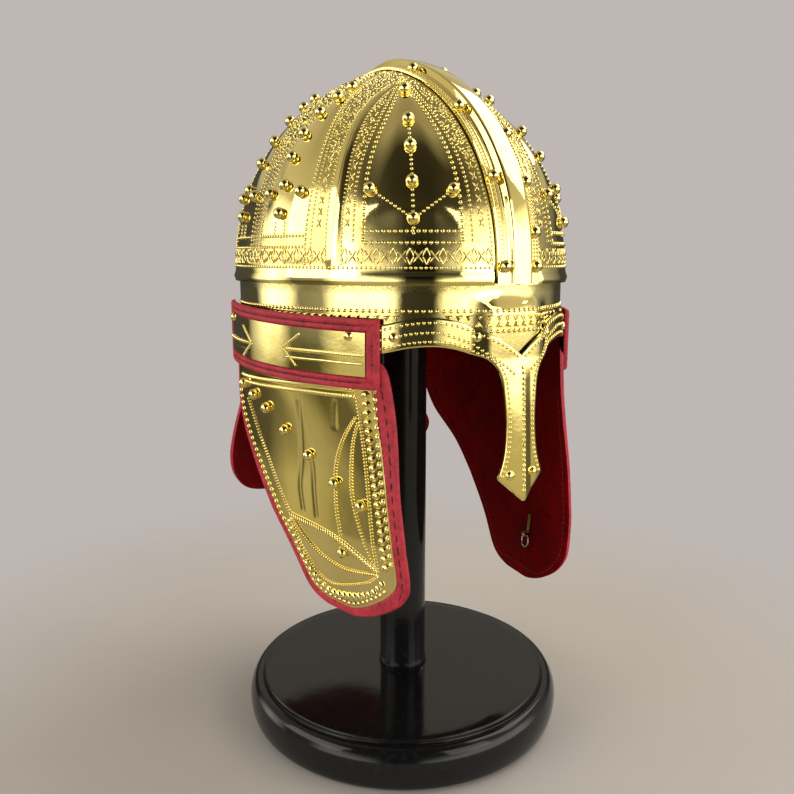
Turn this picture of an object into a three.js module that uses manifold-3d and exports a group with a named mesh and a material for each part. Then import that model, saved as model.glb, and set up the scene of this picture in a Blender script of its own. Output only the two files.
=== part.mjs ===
// Late Roman ridge helmet with leather-bound cheek and neck guards, on a turned display stand.
// Millimetres, +Z up. The face looks along -Y and the wearer's right is -X.
// The origin is the centre of the stand's underside.

import * as THREE from 'three';
import { mergeVertices } from 'three/addons/utils/BufferGeometryUtils.js';
import Module from 'manifold-3d';

const wasm = await Module();
wasm.setup();

// Driving dimensions. Heights of helmet pieces are measured from the bowl's rim.
const GAP = 0.3;
const RIM_Z = 300;
const HELM_Y = 9;

const BASE = { height: 30, foot: 103, bulge: 108, shoulder: 101, top: 98, bulgeAt: 14 };
const POST = {
  radius: 16, foot: 16.8, footHeight: 5, headRadius: 24, headRim: 6, headDrop: 7, headTop: 127.4,
};

const BOWL = { a: 119.5, b: 101.5, height: 132.3, rise: 2.248, taper: 1.596, wall: 1.5, edge: 2 };
const LIP = { height: 3, proud: 0.8 };
const FRIEZE = { top: 24, proud: 0.7 };
const RIB = { proud: 0.8, halfDeg: 1.7 };
const SEAM = { proud: 0.6, halfDeg: 1.6 };

const RIDGE = {
  boxHalf: 7, flangeHalf: 15, sheet: 1.2, seat: 0.5, lowTop: 4, highTop: 5.5, riseOver: 60, draft: 0.3,
};
const BAND = { a: 117, b: 99, wall: 1.5, tuck: 5, bottom: -27, peak: -45, peakDeg: 9 };
const BROW = { endDeg: 45.5, seat: 0.5, wall: 1.5, width: 15.5, steps: 32 };
const NASAL = {
  crease: 1.6, creaseHalf: 6, creaseOver: 10, lean: 0.045, leanFrom: -40, keel: 5, keelHalf: 30, keelOver: 16,
};
const TEMPLE = {
  frontDeg: 43, backDeg: 118, top: -18, bottom: -56.5, rise: 5, seat: 3.6, border: 7, borderDeg: 3.9,
};
const CHEEK = {
  seat: 0.75, bendFrom: -30, bendOver: 95, frontBorder: 8, edgeBorder: 3.4, plateTop: -44, plateBottom: -194,
};
const NECK = { seat: 0.8, flareFrom: -30, flare: 0.11, plateTop: -34, plateBottom: -168, borderDeg: 2.2 };
const LINING = 1.2;
const SHEET = 0.8;
const FOLD = 1.3;
const FOLD_TOP = LINING + FOLD;
const STEP = 0.15;
const STEP_DEG = 0.1;
const GAP_DEG = 0.2;

const STUD = { radius: 3.5, tall: 6.3, sunk: 1.5 };
const RIVET = { radius: 2.7, tall: 2.6, sunk: 0.9 };
const TAB = { y: -60, top: -160, length: 14, width: 3.2, sheet: 0.9, eye: 2.2, eyeHole: 1.3 };
const RING = { radius: 4.6, wire: 0.6, squash: 0.85 };

const COLOURS = {
  brass: { color: 0xd4ad3e, roughness: 0.18, metalness: 1 },
  leather: { color: 0x9c2436, roughness: 0.55, metalness: 0 },
  lacquer: { color: 0x0b0b0d, roughness: 0.2, metalness: 0 },
  steel: { color: 0xb9bcc0, roughness: 0.25, metalness: 1 },
};

const rad = THREE.MathUtils.degToRad;
const clamp = THREE.MathUtils.clamp;
const lerp = THREE.MathUtils.lerp;
const smooth = (x) => THREE.MathUtils.smoothstep(x, 0, 1);
const SIDES = { right: -1, left: 1 };

// A value read from a table of rows by straight-line interpolation on the first column.
function read(rows, key, column) {
  const next = rows.findIndex((row) => row[0] <= key);
  if (next <= 0) return rows[next === 0 ? 0 : rows.length - 1][column];
  const [upper, lower] = [rows[next - 1], rows[next]];
  return lerp(lower[column], upper[column], (key - lower[0]) / (upper[0] - lower[0]));
}

// Closed solids from grids and lofts

// An indexed geometry without collapsed triangles, turned so that its faces point out.
function solid(points, triangles) {
  const positions = new Float32Array(points.flatMap((p) => [p.x, p.y, p.z]));
  let geometry = new THREE.BufferGeometry();
  geometry.setAttribute('position', new THREE.BufferAttribute(positions, 3));
  geometry.setIndex(triangles.flat());
  geometry = mergeVertices(geometry, 1e-3);
  const at = (i) => new THREE.Vector3().fromBufferAttribute(geometry.attributes.position, i);
  const index = geometry.index.array;
  let kept = [];
  let volume = 0;
  for (let i = 0; i < index.length; i += 3) {
    const [a, b, c] = [index[i], index[i + 1], index[i + 2]];
    if (a === b || b === c || c === a) continue;
    volume += at(a).dot(at(b).cross(at(c)));
    kept.push([a, b, c]);
  }
  if (volume < 0) kept = kept.map(([a, b, c]) => [a, c, b]);
  geometry.setIndex(kept.flat());
  return geometry;
}

// Two facing grids of points, rows by columns, joined round their edge.
function gridSolid(rows, columns, outer, inner) {
  const points = [];
  for (const face of [outer, inner]) {
    for (let k = 0; k < rows * columns; k++) points.push(face(Math.floor(k / columns), k % columns));
  }
  const out = (i, j) => i * columns + j;
  const back = (i, j) => rows * columns + out(i, j);
  const triangles = [];
  const quad = (a, b, c, d) => triangles.push([a, b, c], [a, c, d]);
  for (let i = 0; i + 1 < rows; i++) {
    for (let j = 0; j + 1 < columns; j++) {
      quad(out(i, j), out(i, j + 1), out(i + 1, j + 1), out(i + 1, j));
      quad(back(i, j), back(i + 1, j), back(i + 1, j + 1), back(i, j + 1));
    }
    quad(out(i, 0), out(i + 1, 0), back(i + 1, 0), back(i, 0));
    quad(out(i + 1, columns - 1), out(i, columns - 1), back(i, columns - 1), back(i + 1, columns - 1));
  }
  for (let j = 0; j + 1 < columns; j++) {
    quad(out(0, j + 1), out(0, j), back(0, j), back(0, j + 1));
    quad(out(rows - 1, j), out(rows - 1, j + 1), back(rows - 1, j + 1), back(rows - 1, j));
  }
  return solid(points, triangles);
}

// A loft through equal sections, closed on itself or capped with the flat outline given.
function loft(sections, cap = null) {
  const n = sections[0].length;
  const points = sections.flat();
  const triangles = [];
  const spans = cap ? sections.length - 1 : sections.length;
  for (let i = 0; i < spans; i++) {
    const next = (i + 1) % sections.length;
    for (let j = 0; j < n; j++) {
      const k = (j + 1) % n;
      triangles.push([i * n + j, i * n + k, next * n + k], [i * n + j, next * n + k, next * n + j]);
    }
  }
  if (cap) {
    const last = (sections.length - 1) * n;
    for (const [a, b, c] of THREE.ShapeUtils.triangulateShape(cap, [])) {
      triangles.push([b, a, c], [last + a, last + b, last + c]);
    }
  }
  return solid(points, triangles);
}

function toManifold(geometry) {
  let bare = geometry.clone();
  bare.deleteAttribute('normal');
  bare.deleteAttribute('uv');
  bare = mergeVertices(bare, 1e-4);
  const vertProperties = new Float32Array(bare.attributes.position.array);
  const triVerts = new Uint32Array(bare.index.array);
  return new wasm.Manifold(new wasm.Mesh({ numProp: 3, vertProperties, triVerts }));
}

function fromManifold(manifold) {
  const mesh = manifold.getMesh();
  const geometry = new THREE.BufferGeometry();
  geometry.setAttribute('position', new THREE.BufferAttribute(mesh.vertProperties, 3));
  geometry.setIndex(new THREE.BufferAttribute(mesh.triVerts, 1));
  return geometry;
}

function join(geometry, additions) {
  return fromManifold(additions.reduce((sum, g) => sum.add(toManifold(g)), toManifold(geometry)));
}

// A ball stud or a low rivet, sunk a little into a surface point.
function fastener({ radius, tall, sunk }, [point, normal]) {
  const geometry = new THREE.IcosahedronGeometry(1, 0);
  geometry.scale(radius, tall / 2, radius);
  geometry.translate(0, tall / 2 - sunk, 0);
  geometry.applyQuaternion(new THREE.Quaternion().setFromUnitVectors(new THREE.Vector3(0, 1, 0), normal));
  return geometry.translate(point.x, point.y, point.z);
}

// The bowl's surface: elliptical in plan, with a steep wall that closes to a low point

const bowlScale = (h) => (1 - clamp(h / BOWL.height, 0, 1) ** BOWL.rise) ** (1 / BOWL.taper);

function bowlNormal(x, y, h) {
  const step = 0.01;
  const slope = (bowlScale(h + step) ** 2 - bowlScale(h - step) ** 2) / (2 * step);
  return new THREE.Vector3((2 * x) / BOWL.b ** 2, (2 * y) / BOWL.a ** 2, -slope).normalize();
}

// A point and its normal at an angle from the front, a height and a lift off the surface.
function onBowl(side, deg, h, lift = 0) {
  const s = bowlScale(h);
  const x = side * BOWL.b * s * Math.sin(rad(deg));
  const y = -BOWL.a * s * Math.cos(rad(deg));
  const normal = bowlNormal(x, y, h);
  const point = new THREE.Vector3(x, y + HELM_Y, h + RIM_Z).addScaledVector(normal, lift);
  return [point, normal];
}

// The angle at which a line across the bowl, a distance from the ridge plane or forward of the
// middle, crosses the height h.
const degAtX = (x, h) => THREE.MathUtils.radToDeg(Math.asin(clamp(x / (BOWL.b * bowlScale(h)), 0, 1)));
const degAtY = (y, h) => THREE.MathUtils.radToDeg(Math.acos(clamp(y / (BOWL.a * bowlScale(h)), -1, 1)));

// Each quarter has a wide arched panel by the ridge and a narrow one by the middle, with a seam
// strip between them. The arches keep their width to the spring and close at the apex.
const WIDE_ARCH = { deg: 33.5, half: 16, spring: 45, apex: 118 };
const SIDE_ARCH = { top: 21, spread: 6, half: 10.7, spring: 55, apex: 125 };
const SEAM_LINE = { top: 43, spread: 22, power: 1.78, meets: 0.39 };

const archHalf = (arch, h) => {
  const closed = clamp((h - arch.spring) / (arch.apex - arch.spring), 0, 1);
  return arch.half * (1 - closed ** 2.2);
};

function seamDeg(h) {
  const out = clamp((bowlScale(h) - SEAM_LINE.meets) / (1 - SEAM_LINE.meets), 0, 1);
  return degAtY(SEAM_LINE.top + SEAM_LINE.spread * out ** SEAM_LINE.power, h);
}

function sideDeg(h) {
  return degAtY(SIDE_ARCH.top + SIDE_ARCH.spread * bowlScale(h) ** 3, h);
}

function ribLines(h) {
  const [wide, side] = [archHalf(WIDE_ARCH, h), archHalf(SIDE_ARCH, h)];
  return [WIDE_ARCH.deg - wide, WIDE_ARCH.deg + wide, sideDeg(h) - side, sideDeg(h) + side];
}

// Raised work on the bowl: lip, frieze line, arch ribs, seam strips and the strip at the middle,
// all clear of the ridge.
function bowlLift(deg, h) {
  const fold = Math.min(deg, 180 - deg);
  const x = BOWL.b * bowlScale(h) * Math.sin(rad(fold));
  const clear = clamp((x - RIDGE.flangeHalf - 1) / 1.5, 0, 1);
  if (h < LIP.height) return LIP.proud * clear;
  if (h === FRIEZE.top) return FRIEZE.proud * clear;
  if (h < FRIEZE.top) return 0;
  const lines = ribLines(h);
  const ribs = lines.map((line) => RIB.proud * (1 - Math.abs(fold - line) / RIB.halfDeg));
  const seam = SEAM.proud * (1 - Math.abs(fold - seamDeg(h)) / SEAM.halfDeg);
  const middle = fold > lines[3] ? RIB.proud : 0;
  return clear * Math.max(0, ...ribs, seam, middle);
}

const BOWL_ROWS = [0, LIP.height, FRIEZE.top - 1.5, FRIEZE.top,
  45, 64, 82, 97, 109, 118, 124.5, 129, 131.6];

// The angles of the grid's columns at a height, from the ridge slot to the middle and on.
function bowlColumns(h) {
  const [wideA, wideB, sideA, sideB] = ribLines(h);
  const seam = seamDeg(h);
  const { halfDeg } = RIB;
  const quarter = [
    degAtX(BOWL.edge, h), degAtX(RIDGE.flangeHalf + 1.5, h),
    wideA - halfDeg, wideA, wideA + halfDeg, WIDE_ARCH.deg, wideB - halfDeg, wideB, wideB + halfDeg,
    seam - SEAM.halfDeg, seam, seam + SEAM.halfDeg,
    sideA - halfDeg, sideA, sideA + halfDeg, sideDeg(h), sideB - halfDeg, sideB, 90,
  ];
  for (let k = 1; k < quarter.length; k++) quarter[k] = clamp(quarter[k], quarter[k - 1], 90);
  const mirrored = quarter.slice(0, -1).reverse().map((deg) => 180 - deg);
  return [...quarter, ...mirrored];
}

// The hollow that the head goes into, as a closed dome that runs on below the rim.
function hollow() {
  const levels = [-5, 10, 40, 68, 92, 110, 122, 129];
  const around = 32;
  const sections = levels.map((h) => Array.from({ length: around }, (_, k) => {
    const deg = (360 * k) / around;
    const [point] = onBowl(1, deg, Math.max(h, 0), -BOWL.wall);
    return point.setZ(point.z + Math.min(h, 0));
  }));
  const cap = sections[0].map((p) => new THREE.Vector2(p.x, p.y));
  return loft(sections, cap);
}

// Studs on one half of the bowl: angle from the front and height, mirrored to the back.
const PANEL_STUDS = [
  [33.5, 107], [33.5, 88], [33.5, 73], [33.5, 54], [46.3, 50.5], [21, 50], [33.5, 35],
  [67, 112], [71.5, 106], [76, 96.5], [78, 84], [78.5, 70.5], [77.5, 54.5], [84.5, 50.5], [70, 50.5],
  [77.5, 39],
];

function bowlHalf(side) {
  const columns = BOWL_ROWS.map(bowlColumns);
  const place = (i, j, drop) => {
    const [h, deg] = [BOWL_ROWS[i], columns[i][j]];
    return onBowl(side, deg, h, drop || bowlLift(deg, h))[0];
  };
  const block = gridSolid(
    BOWL_ROWS.length, columns[0].length, (i, j) => place(i, j, 0), (i, j) => place(i, j, -2 * BOWL.wall),
  );
  const shell = fromManifold(toManifold(block).subtract(toManifold(hollow())));
  const studs = PANEL_STUDS.flatMap(([deg, h]) => [onBowl(side, deg, h), onBowl(side, 180 - deg, h)]);
  return join(shell, studs.map((place) => fastener(STUD, place)));
}

// The ridge: a hat-section strip over the join, from the front of the rim to the back

const RIDGE_HEIGHTS = [0.6, 16, 32, 48, 64, 79, 92, 104, 113.5, 121, 126.5, 130.3];

// Distance from the middle line's tangent plane down to the bowl at a distance x to one side.
function bowlDrop(centre, normal, x) {
  let [low, high] = [0, BOWL.height / 2];
  for (let n = 0; n < 40; n++) {
    const mid = (low + high) / 2;
    const [y, h] = [centre.y - normal.y * mid, centre.z - normal.z * mid];
    const outside = (x / BOWL.b) ** 2 + (y / BOWL.a) ** 2 > bowlScale(h) ** 2;
    if (outside) low = mid;
    else high = mid;
  }
  return low;
}

const ridgeTop = (h) => lerp(RIDGE.lowTop, RIDGE.highTop, smooth(h / RIDGE.riseOver));

// One station of the ridge: its middle point, outward normal and height above the rim.
function ridgeStation(end, h) {
  const centre = new THREE.Vector3(0, end * BOWL.a * bowlScale(h), h);
  return { centre, normal: end ? bowlNormal(0, centre.y, h) : new THREE.Vector3(0, 0, 1), h };
}

function ridgePoint({ centre, normal }, x, up) {
  const point = centre.clone().addScaledVector(normal, up).setX(x);
  return point.add(new THREE.Vector3(0, HELM_Y, RIM_Z));
}

function ridgeOutline(station) {
  const { boxHalf, flangeHalf, sheet, seat, draft } = RIDGE;
  const edge = seat - bowlDrop(station.centre, station.normal, flangeHalf);
  const root = seat - bowlDrop(station.centre, station.normal, boxHalf);
  const top = ridgeTop(station.h);
  const half = [
    [boxHalf - sheet, top - sheet], [boxHalf - sheet, root], [flangeHalf, edge],
    [flangeHalf, edge + sheet], [boxHalf + draft, root + sheet], [boxHalf, top],
  ];
  return [...half, ...half.map(([x, up]) => [-x, up]).reverse()];
}

// Studs on the flanges: side, end of the helmet (-1 front, 1 back) and height.
const FLANGE_STUDS = [
  ...[10, 57, 96.5, 124].flatMap((h) => [[-1, -1, h], [-1, 1, h]]),
  ...[10, 28, 55, 82, 107, 124].flatMap((h) => [[1, -1, h], [1, 1, h]]),
];

function ridge() {
  const stations = [
    ...RIDGE_HEIGHTS.map((h) => ridgeStation(-1, h)),
    ridgeStation(0, BOWL.height),
    ...RIDGE_HEIGHTS.map((h) => ridgeStation(1, h)).reverse(),
  ];
  const sections = stations.map((s) => ridgeOutline(s).map(([x, up]) => ridgePoint(s, x, up)));
  const cap = ridgeOutline(stations[0]).map(([x, up]) => new THREE.Vector2(x, up));
  const middle = (RIDGE.boxHalf + RIDGE.flangeHalf) / 2;
  const studs = FLANGE_STUDS.map(([side, end, h]) => {
    const station = ridgeStation(end, h);
    const up = RIDGE.seat + RIDGE.sheet - bowlDrop(station.centre, station.normal, middle);
    return [ridgePoint(station, side * middle, up), station.normal];
  });
  return join(loft(sections, cap), studs.map((place) => fastener(STUD, place)));
}

// The base band and what is carried on it

function onBand(side, deg, z, lift) {
  const x = side * (BAND.b + lift) * Math.sin(rad(deg));
  const y = -(BAND.a + lift) * Math.cos(rad(deg));
  const normal = new THREE.Vector3(x / BAND.b ** 2, y / BAND.a ** 2, 0).normalize();
  return [new THREE.Vector3(x, y + HELM_Y, z + RIM_Z), normal];
}

function baseBand() {
  const around = 52;
  const sections = Array.from({ length: around }, (_, k) => {
    const deg = (360 * k) / around;
    const fromFront = Math.min(deg, 360 - deg);
    const bottom = lerp(BAND.bottom, BAND.peak, Math.exp(-((fromFront / BAND.peakDeg) ** 2)));
    const at = (z, lift) => onBand(1, deg, z, lift)[0];
    return [at(BAND.tuck, 0), at(bottom, 0), at(bottom, -BAND.wall), at(BAND.tuck, -BAND.wall)];
  });
  return loft(sections);
}

// The brow arms: angle from the front and height of the upper edge.
const BROW_EDGE = [
  [45.5, -22], [41.4, -20.4], [34.2, -17.6], [25.6, -17.1], [16.5, -21.1], [6.2, -30.4], [0, -38],
];
// The nasal: height, half width.
const NASAL_EDGE = [
  [-36, 23], [-43, 16.5], [-50, 13.4], [-58, 12], [-75, 10.8], [-92, 12], [-106.4, 16.3], [-121, 0.6],
];
// Rivets: angle from the front and height on the brow, distance from the middle and height on the nasal.
const BROW_RIVETS = [[39.2, -27.5], [14.5, -27.5]];
const NASAL_RIVETS = [[8.6, -105]];
const BOTH_SIDES = [1, -1];

// The front of the band, standing forward in a keel at the middle and leaning down the nasal, with a
// crease on its middle line.
function onBrow(side, deg, z, lift) {
  const [point, normal] = onBand(side, deg, z, lift);
  const x = Math.abs(point.x);
  const keel = NASAL.keel * smooth((NASAL.keelHalf - x) / NASAL.keelOver);
  const below = Math.max(0, NASAL.leanFrom - z);
  const across = clamp(1 - x / NASAL.creaseHalf, 0, 1);
  const crease = NASAL.crease * across * clamp(below / NASAL.creaseOver, 0, 1);
  return [point.setY(point.y - keel - below * NASAL.lean - crease), normal];
}

function onNasal(x, z, lift) {
  return onBrow(1, THREE.MathUtils.radToDeg(Math.asin(x / (BAND.b + lift))), z, lift)[0];
}

function browNasal() {
  const arm = (lift) => (i, j) => {
    const deg = lerp(-BROW.endDeg, BROW.endDeg, j / BROW.steps);
    const top = read(BROW_EDGE, Math.abs(deg), 1);
    return onBrow(-1, deg, top - i * BROW.width, lift)[0];
  };
  const [inside, outside] = [BROW.seat, BROW.seat + BROW.wall];
  const arms = gridSolid(2, BROW.steps + 1, arm(outside), arm(inside));
  const across = [-1, -0.8, -0.6, -0.4, 0, 0.4, 0.6, 0.8, 1];
  const blade = (lift) => (i, j) => onNasal(across[j] * NASAL_EDGE[i][1], NASAL_EDGE[i][0], lift);
  const nasal = gridSolid(NASAL_EDGE.length, across.length, blade(outside), blade(inside));
  const ahead = new THREE.Vector3(0, -1, 0);
  const rivets = BOTH_SIDES.flatMap((side) => [
    ...BROW_RIVETS.map(([deg, z]) => onBrow(side, deg, z, outside)),
    ...NASAL_RIVETS.map(([x, z]) => [onNasal(side * x, z, outside), ahead]),
  ]);
  return join(arms, [nasal, ...rivets.map((place) => fastener(RIVET, place))]);
}

// Temple plates: a leather tray with a folded border, holding a brass plate

function onTemple(side, deg, v, lift) {
  const along = (deg - TEMPLE.frontDeg) / (TEMPLE.backDeg - TEMPLE.frontDeg);
  return onBand(side, deg, lerp(TEMPLE.top, TEMPLE.bottom, v) + TEMPLE.rise * along, TEMPLE.seat + lift);
}

const TEMPLE_FRACTIONS = Array.from({ length: 9 }, (_, k) => k / 8);

function templeLeather(side) {
  const border = TEMPLE.border / (TEMPLE.top - TEMPLE.bottom);
  const step = STEP / (TEMPLE.top - TEMPLE.bottom);
  const { frontDeg, backDeg, borderDeg } = TEMPLE;
  const [from, to] = [frontDeg + borderDeg, backDeg - borderDeg];
  const tray = TEMPLE_FRACTIONS.map((f) => lerp(from, to, f));
  const columns = [frontDeg, from - STEP_DEG, ...tray, to + STEP_DEG, backDeg];
  const rows = [0, border - step, border, 1 - border, 1 - border + step, 1];
  const isTray = (i, j) => i > 1 && i < 4 && j > 1 && j < columns.length - 2;
  return gridSolid(
    rows.length, columns.length,
    (i, j) => onTemple(side, columns[j], rows[i], isTray(i, j) ? LINING : FOLD_TOP)[0],
    (i, j) => onTemple(side, columns[j], rows[i], 0)[0],
  );
}

// Rivets on a temple plate: angle from the front and share of the way down.
const TEMPLE_RIVETS = [[51.8, 0.26], [109.2, 0.26]];

function templePlate(side) {
  const margin = (TEMPLE.border + GAP) / (TEMPLE.top - TEMPLE.bottom);
  const marginDeg = TEMPLE.borderDeg + GAP_DEG;
  const columns = TEMPLE_FRACTIONS.map(
    (f) => lerp(TEMPLE.frontDeg + marginDeg, TEMPLE.backDeg - marginDeg, f),
  );
  const face = (lift) => (i, j) => onTemple(side, columns[j], i ? 1 - margin : margin, lift)[0];
  const outside = LINING + GAP + SHEET;
  const plate = gridSolid(2, columns.length, face(outside), face(LINING + GAP));
  return join(plate, TEMPLE_RIVETS.map(([deg, v]) => fastener(RIVET, onTemple(side, deg, v, outside))));
}

// Cheek guards: they follow the band at the top, bend in below it and hang nearly flat

// Outline: height, then front edge and back edge measured back from the helmet's middle.
const CHEEK_EDGE = [
  [-21, -78, 66], [-38, -79, 69], [-41, -84, 69.5], [-46, -88.5, 70], [-64, -92, 69.5],
  [-86, -95.5, 64.5], [-107, -98.5, 54], [-128, -101.5, 39.5], [-152, -104.5, 18],
  [-171, -105, 1], [-180, -101, -6], [-188, -93, -11.5], [-195, -82, -17], [-200, -71, -24.5],
  [-203, -60, -36],
];
const CHEEK_PLAN = { widest: 84.5, at: 38, curve: 0.00104, tuck: 0.1, tuckFrom: -150 };

// The guard on the wearer's right hangs a little shorter than the other, whose tip is longer and whose
// top reaches farther back in a lobe.
const CHEEK_HANG = new Map([
  [SIDES.right, { upper: 0.975, tip: 0.975, lobe: 0 }],
  [SIDES.left, { upper: 1, tip: 1.02, lobe: 12 }],
]);
const CHEEK_LOBE = { from: -128, over: 20 };

function cheekEdges(side) {
  const { lobe } = CHEEK_HANG.get(side);
  return CHEEK_EDGE.map(([z, front, back]) => [
    z, front, back + lobe * smooth((z - CHEEK_LOBE.from) / CHEEK_LOBE.over),
  ]);
}

function cheekHeight(side, z) {
  const { upper, tip } = CHEEK_HANG.get(side);
  const lowest = CHEEK_EDGE[CHEEK_EDGE.length - 1][0];
  return z * lerp(upper, tip, (z / lowest) ** 4) + RIM_Z;
}

function cheekSpan(y, z) {
  const [a, b] = [BAND.a + CHEEK.seat, BAND.b + CHEEK.seat];
  const upper = b * Math.sqrt(Math.max(0, 1 - (y / a) ** 2));
  const tuck = CHEEK_PLAN.tuck * Math.max(0, CHEEK_PLAN.tuckFrom - z);
  const lower = CHEEK_PLAN.widest - CHEEK_PLAN.curve * (y - CHEEK_PLAN.at) ** 2 - tuck;
  return lerp(upper, lower, smooth((CHEEK.bendFrom - z) / CHEEK.bendOver));
}

function onCheek(side, y, z, lift) {
  const step = 0.5;
  const alongY = (cheekSpan(y + step, z) - cheekSpan(y - step, z)) / (2 * step);
  const alongZ = (cheekSpan(y, z + step) - cheekSpan(y, z - step)) / (2 * step);
  const normal = new THREE.Vector3(side, -alongY, -alongZ).normalize();
  const point = new THREE.Vector3(side * cheekSpan(y, z), y + HELM_Y, cheekHeight(side, z));
  return [point.addScaledVector(normal, lift), normal];
}

const CHEEK_FRACTIONS = [0, 0.12, 0.26, 0.42, 0.58, 0.74, 0.88, 1];

function cheekLeather(side) {
  const rows = cheekEdges(side);
  const columns = rows.map(([, front, back]) => {
    const [from, to] = [front + CHEEK.frontBorder, back - CHEEK.edgeBorder];
    return [front, from - STEP, ...CHEEK_FRACTIONS.map((f) => lerp(from, to, f)), to + STEP, back];
  });
  const count = columns[0].length;
  const isFold = (i, j) => i >= 3 && (j < 2 || j > count - 3 || i > rows.length - 3);
  return gridSolid(
    rows.length, count,
    (i, j) => onCheek(side, columns[i][j], rows[i][0], isFold(i, j) ? FOLD_TOP : LINING)[0],
    (i, j) => onCheek(side, columns[i][j], rows[i][0], 0)[0],
  );
}

// Studs down the cheek: distance behind the middle and height.
const CHEEK_STUDS = [
  [36.5, -67.5], [20, -72.5], [5, -79], [-11.5, -91], [-31.5, -104], [-52.5, -118], [-74, -127.5],
  [-57.5, -160.5],
];

function cheekPlate(side) {
  const outline = cheekEdges(side);
  const between = outline.map(([z]) => z).filter((z) => z < CHEEK.plateTop && z > CHEEK.plateBottom);
  const edges = [CHEEK.plateTop, ...between, CHEEK.plateBottom].map((z) => [
    z,
    read(outline, z, 1) + CHEEK.frontBorder + GAP,
    read(outline, z, 2) - CHEEK.edgeBorder - GAP,
  ]);
  const face = (lift) => (i, j) => {
    const [z, front, back] = edges[i];
    return onCheek(side, lerp(front, back, CHEEK_FRACTIONS[j]), z, lift)[0];
  };
  const outside = LINING + GAP + SHEET;
  const plate = gridSolid(edges.length, CHEEK_FRACTIONS.length, face(outside), face(LINING + GAP));
  return join(plate, CHEEK_STUDS.map(([y, z]) => fastener(STUD, onCheek(side, y, z, outside + 2 * GAP))));
}

// Neck guard: narrow where it hangs from the band, flaring out to a round lower edge

// Outline: height, half angle from the middle of the back.
const NECK_EDGE = [
  [-24, 31], [-34, 32], [-60, 36], [-92, 44], [-110, 50], [-124, 52.5], [-139, 48], [-153, 40],
  [-162, 33], [-168.5, 24], [-172, 14],
];

function onNeck(deg, z, lift) {
  const flare = NECK.flare * Math.max(0, NECK.flareFrom - z);
  return onBand(1, 180 + deg, z, NECK.seat + flare + lift)[0];
}

const NECK_FRACTIONS = [-1, -0.67, -0.33, 0, 0.33, 0.67, 1];

function neckLeather() {
  const columns = NECK_EDGE.map(([, half]) => {
    const inner = half - NECK.borderDeg;
    return [-half, -inner - STEP_DEG, ...NECK_FRACTIONS.map((f) => f * inner), inner + STEP_DEG, half];
  });
  const count = columns[0].length;
  const isFold = (i, j) => i >= 1 && (j < 2 || j > count - 3 || i > NECK_EDGE.length - 3);
  return gridSolid(
    NECK_EDGE.length, count,
    (i, j) => onNeck(columns[i][j], NECK_EDGE[i][0], isFold(i, j) ? FOLD_TOP : LINING),
    (i, j) => onNeck(columns[i][j], NECK_EDGE[i][0], 0),
  );
}

function neckPlate() {
  const marginDeg = NECK.borderDeg + GAP_DEG;
  const edges = NECK_EDGE.filter(([z]) => z <= NECK.plateTop && z > NECK.plateBottom);
  const face = (lift) => (i, j) => onNeck(NECK_FRACTIONS[j] * (edges[i][1] - marginDeg), edges[i][0], lift);
  return gridSolid(
    edges.length, NECK_FRACTIONS.length, face(LINING + GAP + SHEET), face(LINING + GAP),
  );
}

// Tie ring inside each cheek guard, hung in the eye of a folded brass tab

function tabPlace(side) {
  const middle = TAB.top - TAB.length / 2;
  const [point, normal] = onCheek(side, TAB.y, middle, -GAP);
  const up = new THREE.Vector3(0, 0, 1).addScaledVector(normal, -normal.z).normalize();
  const across = new THREE.Vector3().crossVectors(up, normal);
  const turn = new THREE.Matrix4().makeBasis(normal.clone().negate(), up, across);
  return turn.setPosition(point);
}

function cheekTab(side) {
  const half = TAB.length / 2;
  const eye = new THREE.Vector2(TAB.eye, -half);
  const outline = new THREE.Shape();
  outline.moveTo(0, half);
  outline.lineTo(0, eye.y);
  outline.absarc(eye.x, eye.y, TAB.eye, Math.PI, Math.PI * 2.5, false);
  outline.lineTo(TAB.sheet, eye.y + TAB.eye);
  outline.lineTo(TAB.sheet, half);
  const hole = new THREE.Path();
  hole.absarc(eye.x, eye.y, TAB.eyeHole, 0, Math.PI * 2, true);
  outline.holes.push(hole);
  const geometry = new THREE.ExtrudeGeometry(outline, {
    depth: TAB.width, bevelEnabled: false, curveSegments: 4,
  });
  geometry.translate(0, 0, -TAB.width / 2);
  return geometry.applyMatrix4(tabPlace(side));
}

function cheekRing(side) {
  const geometry = new THREE.TorusGeometry(RING.radius, RING.wire, 5, 14);
  geometry.scale(RING.squash, 1, 1);
  geometry.rotateY(Math.PI / 2);
  geometry.translate(TAB.eye, -TAB.length / 2 - RING.radius, 0);
  return geometry.applyMatrix4(tabPlace(side));
}

// Stand: a turned base and a post whose round head carries the crown

function turned(profile, sides) {
  const geometry = new THREE.LatheGeometry(profile.map(([r, z]) => new THREE.Vector2(r, z)), sides);
  return geometry.rotateX(Math.PI / 2);
}

function standBase() {
  const { height, foot, bulge, shoulder, top, bulgeAt } = BASE;
  const upper = [1, 2, 3].map((k) => {
    const turn = (k / 3) * (Math.PI / 2);
    return [lerp(shoulder, bulge, Math.cos(turn)), lerp(bulgeAt, height - 3, Math.sin(turn))];
  });
  return turned([
    [0, 0], [foot, 0], [foot + 3.6, 5], [bulge, bulgeAt], ...upper,
    [top, height - 2.4], [top - 0.8, height], [0, height],
  ], 32);
}

function standPost() {
  const { radius, foot, footHeight, headRadius, headRim, headDrop, headTop } = POST;
  const from = BASE.height + GAP;
  const crown = RIM_Z + headTop;
  const rim = crown - headDrop;
  return turned([
    [0, from], [foot, from], [foot, from + footHeight / 2], [radius, from + footHeight],
    [radius, rim - 3 * headRim], [headRadius, rim - headRim], [headRadius, rim],
    [headRadius / 2, crown - headDrop / 3], [0, crown],
  ], 20);
}

// The assembly

const helmet = new THREE.Group();

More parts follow.
